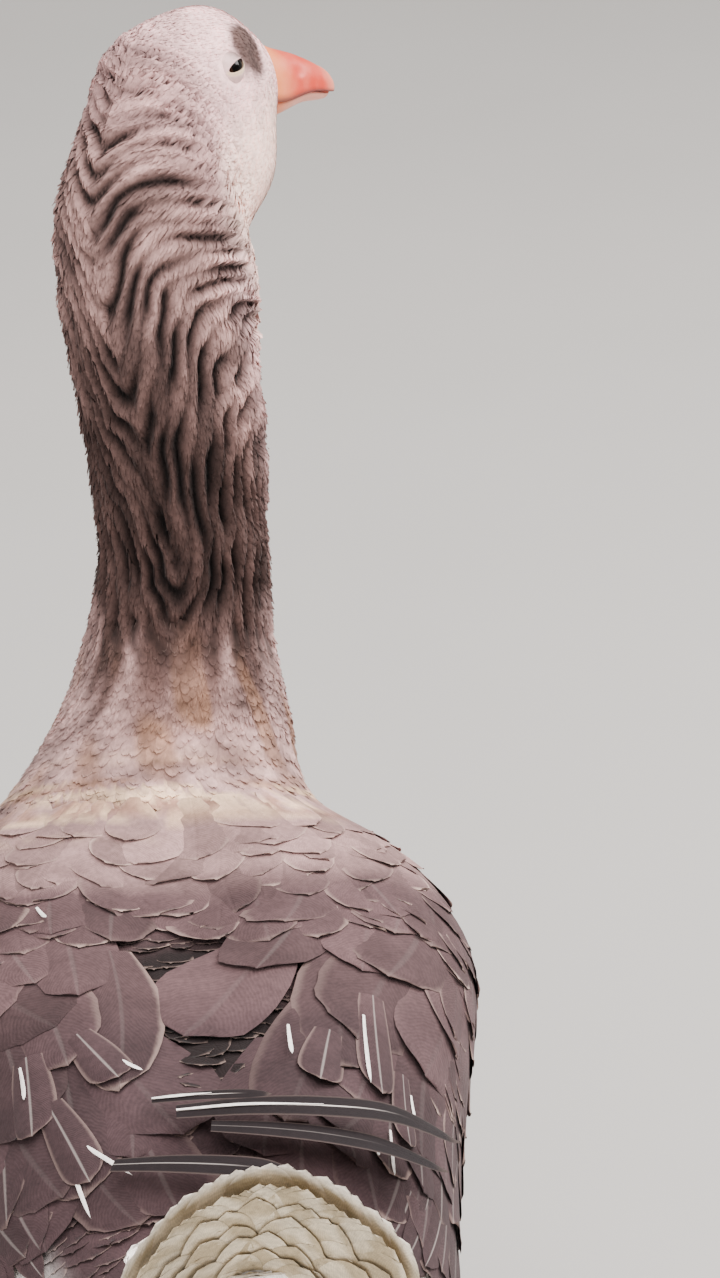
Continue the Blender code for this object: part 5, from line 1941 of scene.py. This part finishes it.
@dataclass(frozen=True)
class BillFinish:
    """Waxy bill: one shade with clouding, a brown edge of painted shade at the face, a dark mouth line that
    is partly painted shadow, and a pale nail.
    """

    name: str
    shade: tuple
    nail: tuple = (240, 160, 134)
    base: tuple = (238, 136, 78)
    # Brown of the painted shade at the face and of the mouth line, which is partly painted shadow under the
    # upper bill.
    mouth_line_and_shade: tuple = (126, 52, 42)

    def material(self) -> Material:
        """Build the material.

        Returns:
            The material.
        """
        made, wire, shader = new_material(self.name)
        across, along = wire.split_map("Bill")
        world = wire.world()
        cloud = wire.noise(world, 90.0, 4.0)
        grain = wire.noise(world, 900.0, 3.0)
        body = wire.mix(wire.ramp(along, 0.05, 0.40), colour(*self.base), colour(*self.shade))
        body = wire.mix(wire.ramp(cloud, 0.40, 0.75, 0.0, 0.25), body, colour(*self.nail))
        body = wire.mix(wire.ramp(along, 0.70, 0.97, 0.0, 0.8), body, colour(*self.nail))
        # Painted shade: a brown edge where the bill meets the face.
        body = wire.mix(wire.ramp(along, 0.0, 0.035, 0.8, 0.0), body, colour(*self.mouth_line_and_shade))
        # Dark mouth line along the cutting edges: partly the gape's own dark line, partly painted shadow
        # under the upper bill.
        edge = wire.math("ABSOLUTE", wire.math("SINE", wire.times(across, 2 * math.pi)))
        line = wire.times(wire.ramp(edge, 0.0, 0.16, 0.75, 0.0), wire.ramp(along, 0.9, 1.0, 1.0, 0.2))
        wire.put(wire.mix(line, body, colour(*self.mouth_line_and_shade)), shader.inputs["Base Color"])
        wire.bump(shader, wire.plus(wire.times(cloud, 1.5), wire.times(grain, 0.3)), 0.25, 0.0005)
        wire.put(wire.ramp(cloud, 0.2, 0.8, 0.38, 0.55), shader.inputs["Roughness"])
        wire.fix(shader, {"Subsurface Weight": 0.12, "Subsurface Radius": (0.004, 0.0015, 0.001)})
        return made


@dataclass
class Eyes:
    """Eyeballs with iris and pupil, and the bare lids round them."""

    radius: float = 0.0078
    station: float = 2.75
    angle: float = math.radians(38.5)
    depth: float = 0.0052
    tilt: float = math.radians(18)
    opening: tuple = (0.0056, 0.0021, 0.0020)
    skirt: float = 0.0088
    ball_grid: tuple = (41, 64)
    lid_grid: tuple = (72, 19)

    def socket(self, side: Side) -> tuple[Array, Array]:
        """Point of the flesh over an eye and the direction the eye looks in.

        Args:
            side: Side of the head.

        Returns:
            The point and the direction.
        """
        angle = self.angle if side is Side.RIGHT else math.pi - self.angle
        here, _, _, normal = FLESH.frames(np.array([self.station]), np.array([angle]))
        return here[0], normal[0]

    def basis(self, side: Side) -> tuple[Array, Array, Array]:
        """Directions towards the bill, up and out of an eye.

        Args:
            side: Side of the head.

        Returns:
            The three directions.
        """
        _, out = self.socket(side)
        _, ahead, _, _ = Bill().axes()
        ahead = unit(ahead - (ahead @ out) * out)
        up = np.cross(out, ahead) if side is Side.RIGHT else np.cross(ahead, out)
        up = up if up[2] > 0 else -up
        c, s = math.cos(self.tilt), math.sin(self.tilt)
        return c * ahead + s * up, c * up - s * ahead, out

    def build(self) -> list[Object]:
        """Both balls and both pairs of lids.

        Returns:
            A ball and its lids for each side.
        """
        made = []
        for side in Side:
            here, out = self.socket(side)
            ahead, up, out = self.basis(side)
            centre = here - out * self.depth
            rows, columns = self.ball_grid
            v = np.linspace(0, math.pi, rows)[:, None]
            u = full_turn(columns)[None, :]
            ball = (
                centre
                + self.radius * (np.cos(v)[..., None] * out + (np.sin(v) * np.cos(u))[..., None] * ahead)
                + self.radius * (np.sin(v) * np.sin(u))[..., None] * up
            )
            ball[0] += out * 0.0004
            faces = grid_faces(rows, columns, closed=True)
            eye = make_mesh(f"eyeball_{side.name.lower()}", ball.reshape(-1, 3), faces)
            recalculate(eye)
            place = np.stack(np.broadcast_arrays(u / (2 * math.pi), v / math.pi), -1)
            add_map(eye, "Ball", place.reshape(-1, 2))
            made += [eye, self.lids(side, here, ahead, up, out)]
        return made

    def lids(self, side: Side, here: Array, ahead: Array, up: Array, out: Array) -> Object:
        """Both lids as one sheet from the rim of the opening, over the ball and down to the skin.

        At a distance r from the middle the sheet stands the larger, with a soft crease, of the
        ball's own height sqrt(R^2 - r^2) - depth and the skin's -r^2 / 0.06.

        Args:
            side: Side of the head.
            here: Point of the flesh over the eye.
            ahead: Direction towards the bill.
            up: Direction over the eye.
            out: Direction that the eye looks in.

        Returns:
            The lids as one object, with a map of their place across and round the opening.
        """
        around, across = self.lid_grid
        t = full_turn(around)[:, None]
        p = np.concatenate([[-0.06, -0.02], np.linspace(0, 1, across - 2) ** 1.4])[None, :]
        long, high, deep = self.opening
        rise, reach = np.where(np.sin(t) > 0, high, deep) * np.sin(t), long * np.cos(t)
        rim = np.hypot(reach, rise)
        far = rim + (self.skirt - rim) * np.clip(p, 0, 1)
        over = np.sqrt(np.maximum((self.radius + 0.0005) ** 2 - far**2, 0)) - self.depth
        skin = -(far**2) / 0.06 - 0.0005
        z = 0.5 * (over + skin + np.hypot(over - skin, 0.0008))
        z = z + 0.00035 * bump(0.06, 0.10, p) + 0.018 * np.minimum(p, 0)
        turn = np.mod(np.arctan2(rise, reach), 2 * math.pi)
        turn = turn + (t - turn) * np.clip(p, 0, 1) ** 0.8
        flat = (far * np.cos(turn))[..., None] * ahead + (far * np.sin(turn))[..., None] * up
        points = here + flat + z[..., None] * out
        near = np.arange(across - 1)
        end = near + (around - 1) * across
        faces = np.concatenate([grid_faces(around, across), np.stack([end, end + 1, near + 1, near], -1)])
        lid = make_mesh(f"lids_{side.name.lower()}", points.reshape(-1, 3), faces)
        recalculate(lid)
        add_map(lid, "Ball", np.stack(np.broadcast_arrays(p, t / (2 * math.pi)), -1).reshape(-1, 2))
        return lid

    def dress(self, pieces: list[Object]) -> None:
        """Wet dark eyes and pale bare lids.

        Args:
            pieces: The balls and the lids.
        """
        ball, lid = self.ball_material(), self.lid_material()
        for piece in pieces:
            if piece.name.startswith("eyeball"):
                finish_piece(piece, ball, "eye", "eye_" + piece.name.split("_")[1])
            else:
                finish_piece(piece, lid, "bill horn")

    @staticmethod
    def ball_material() -> Material:
        """Black pupil in a dark brown iris, under a wet coat.

        Returns:
            The material.
        """
        made, wire, shader = new_material("eyeball")
        _, along = wire.split_map("Ball")
        fibres = wire.noise(wire.world(), 1500.0, 2.0)
        iris = wire.mix(fibres, colour(22, 13, 10), colour(44, 26, 18))
        body = wire.mix(wire.ramp(along, 0.12, 0.15), colour(4, 3, 3), iris)
        body = wire.mix(wire.ramp(along, 0.26, 0.30), body, colour(24, 16, 14))
        wire.put(body, shader.inputs["Base Color"])
        wire.fix(shader, {
            "Roughness": 0.12, "Specular IOR Level": 0.15, "Coat Weight": 0.12, "Coat Roughness": 0.05,
        })
        return made

    @staticmethod
    def lid_material() -> Material:
        """Pale fleshy lid with fine wrinkles, painted shade at its front and a pale lower lid that is partly
        a painted highlight.

        Returns:
            The material.
        """
        made, wire, shader = new_material("lid skin")
        world = wire.world()
        cloud = wire.noise(world, 300.0, 3.0)
        across, around = wire.split_map("Ball")
        below = wire.math("SINE", wire.times(around, 2 * math.pi))
        # Pale lower lid near the opening: partly the lid's own bare skin, partly a painted highlight along
        # the top of the cheek.
        bare = wire.times(wire.ramp(below, -0.25, 0.15, 1.0, 0.0), wire.ramp(across, 0.16, 0.40, 1.0, 0.0))
        body = wire.mix(wire.ramp(cloud, 0.3, 0.7), colour(206, 172, 168), colour(228, 190, 188))
        body = wire.mix(bare, body, colour(242, 212, 178))
        # Front of the lid, darker towards the lore: partly brown and partly painted shade of the lore's dip.
        fore = wire.math("COSINE", wire.times(wire.minus(around, 0.11), 2 * math.pi))
        fore_brown_and_shade = wire.times(wire.ramp(fore, 0.35, 0.95), wire.ramp(across, 0.0, 0.25, 0.4, 0.85))
        body = wire.mix(fore_brown_and_shade, body, colour(96, 74, 68))
        body = wire.mix(wire.ramp(across, 0.0, 0.05, 0.8, 0.0), body, colour(60, 40, 34))
        wire.put(body, shader.inputs["Base Color"])
        wire.bump(shader, wire.noise(world, 1600.0, 3.0), 0.4, 0.0004)
        wire.fix(shader, {"Roughness": 0.55})
        return made


def recalculate(obj: Object) -> None:
    """Merge doubled points and turn every face outwards.

    Args:
        obj: The object.
    """
    shape = bmesh.new()
    shape.from_mesh(obj.data)
    bmesh.ops.remove_doubles(shape, verts=shape.verts, dist=1e-6)
    bmesh.ops.recalc_face_normals(shape, faces=shape.faces)
    shape.to_mesh(obj.data)
    shape.free()


@dataclass
class Studio:
    """Camera as the photograph was taken, soft light and a plain pale floor."""

    azimuth: float = math.radians(-7)
    elevation: float = math.radians(25)
    distance: float = 2.0
    target: tuple = (0.085, 0.06 + CENTRE_SHIFT, 0.468)
    focal_pixels: float = 4660.0
    picture_height: int = 1278
    flat: float = 9.0
    curve: float = 3.0
    wall: float = 6.0
    sides: int = 96

    def build(self) -> None:
        """Make the camera, the lights and the floor."""
        back = np.array([
            math.sin(self.azimuth) * math.cos(self.elevation),
            -math.cos(self.azimuth) * math.cos(self.elevation),
            math.sin(self.elevation),
        ])
        data = bpy.data.cameras.new("camera")
        data.sensor_fit = "VERTICAL"
        data.sensor_height = 36.0
        data.lens = self.focal_pixels * data.sensor_height / self.picture_height
        data.clip_end = 100
        camera = bpy.data.objects.new("camera", data)
        camera.location = np.array(self.target) + back * self.distance
        camera.rotation_euler = Vector(-back).to_track_quat("-Z", "Y").to_euler()
        bpy.context.scene.collection.objects.link(camera)
        bpy.context.scene.camera = camera
        self.floor()
        self.lamp("sky", (0.3, -1.0, 2.8), (0.0, 0.05, 0.35), 2.4, 135.0, (1.0, 0.96, 0.955))
        self.lamp("far sky", (1.9, 0.7, 2.2), (0.0, 0.05, 0.45), 1.6, 105.0, (1.0, 0.955, 0.94))
        self.lamp("low", (-1.0, -2.5, 0.9), (0.0, -0.1, 0.35), 1.6, 46.0, (1.0, 0.97, 0.96))
        world = bpy.data.worlds.new("soft sky")
        world.use_nodes = True
        world.node_tree.nodes["Background"].inputs[0].default_value = (1.0, 0.97, 0.965, 1)
        world.node_tree.nodes["Background"].inputs[1].default_value = 0.75
        bpy.context.scene.world = world

    def floor(self) -> None:
        """A wide pale floor that curves up into a wall all round."""
        bend = np.linspace(0, math.pi / 2, 12)
        far = np.concatenate([[0.05, 2, 5], self.flat + self.curve * np.sin(bend), [self.flat + self.curve]])
        high = np.concatenate([[0, 0, 0], self.curve * (1 - np.cos(bend)), [self.wall]]) - 0.0002
        turn = full_turn(self.sides)
        ring = np.stack([np.cos(turn), np.sin(turn)], -1)
        level = np.broadcast_to(high[:, None, None], (len(far), self.sides, 1))
        points = np.concatenate([far[:, None, None] * ring, level], -1)
        points[0, :, :2] *= 0
        obj = make_mesh("floor", points.reshape(-1, 3), grid_faces(len(far), self.sides, closed=True))
        recalculate(obj)
        if obj.data.polygons[150].normal.z < 0:
            obj.data.flip_normals()
        made, wire, shader = new_material("pale floor")
        cloud = wire.noise(wire.world(), 3.0, 3.0)
        wire.put(wire.mix(cloud, colour(186, 184, 180), colour(194, 192, 188)), shader.inputs["Base Color"])
        wire.fix(shader, {"Roughness": 0.9})
        obj.data.materials.append(made)

    @staticmethod
    def lamp(name: str, place: tuple, aim: tuple, size: float, power_: float, shade: tuple) -> None:
        """A square area light turned towards a point.

        Args:
            name: Name of the lamp.
            place: Where it stands.
            aim: Point that it faces.
            size: Its side.
            power_: Its power.
            shade: Its colour.
        """
        data = bpy.data.lights.new(name, "AREA")
        data.shape, data.size, data.energy, data.color = "SQUARE", size, power_, shade
        obj = bpy.data.objects.new(name, data)
        obj.location = place
        obj.rotation_euler = (Vector(aim) - Vector(place)).to_track_quat("-Z", "Y").to_euler()
        bpy.context.scene.collection.objects.link(obj)


@dataclass(frozen=True)
class LegFinish:
    """Leg skin or claw horn: one shade with small scales."""

    name: str
    shade: tuple = (222, 122, 58)
    light: tuple = (236, 158, 100)
    crease: tuple = (150, 78, 40)
    scale: float = 420.0

    def material(self) -> Material:
        """Build the material.

        Returns:
            The material.
        """
        made, wire, shader = new_material(self.name)
        world = wire.world()
        cells = wire.node("ShaderNodeTexVoronoi", feature="DISTANCE_TO_EDGE")
        wire.put(world, cells.inputs["Vector"])
        cells.inputs["Scale"].default_value = self.scale
        cell = cells.outputs["Distance"]
        cloud = wire.noise(world, 60.0, 3.0)
        body = wire.mix(wire.ramp(cloud, 0.3, 0.7), colour(*self.shade), colour(*self.light))
        body = wire.mix(wire.ramp(cell, 0.0, 0.12, 0.55, 0.0), body, colour(*self.crease))
        wire.put(body, shader.inputs["Base Color"])
        wire.bump(shader, wire.ramp(cell, 0.0, 0.22), 0.5, 0.0006)
        wire.fix(shader, {"Roughness": 0.5})
        return made


def main() -> None:
    """Build the goose piece by piece, then the studio."""
    logging.basicConfig(level=logging.INFO, format="%(name)s: %(message)s")
    skin = Skin()
    skin.dress(skin.build())
    parts = (
        HeadCoat(), NeckCoat(), BodyCoat(), Wing(Side.RIGHT), Wing(Side.LEFT), CrossingPrimaries(), Tail(),
        Thigh(Side.RIGHT), Thigh(Side.LEFT), Bill(), Eyes(),
    )
    for part in parts:
        part.dress(part.build())
        log.info("%s done", type(part).__name__)
    leg = LegFinish("leg skin").material()
    horn = LegFinish("claw horn", (96, 76, 64), (150, 124, 104), (70, 54, 46), 900.0).material()
    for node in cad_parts:
        if node.startswith(("foot", "shank", "claw")):
            obj = bpy.data.objects[node]
            obj.data.materials.clear()
            obj.data.materials.append(horn if node.startswith("claw") else leg)
    Studio().build()


if __name__ == "__main__":
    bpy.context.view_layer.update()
    main()
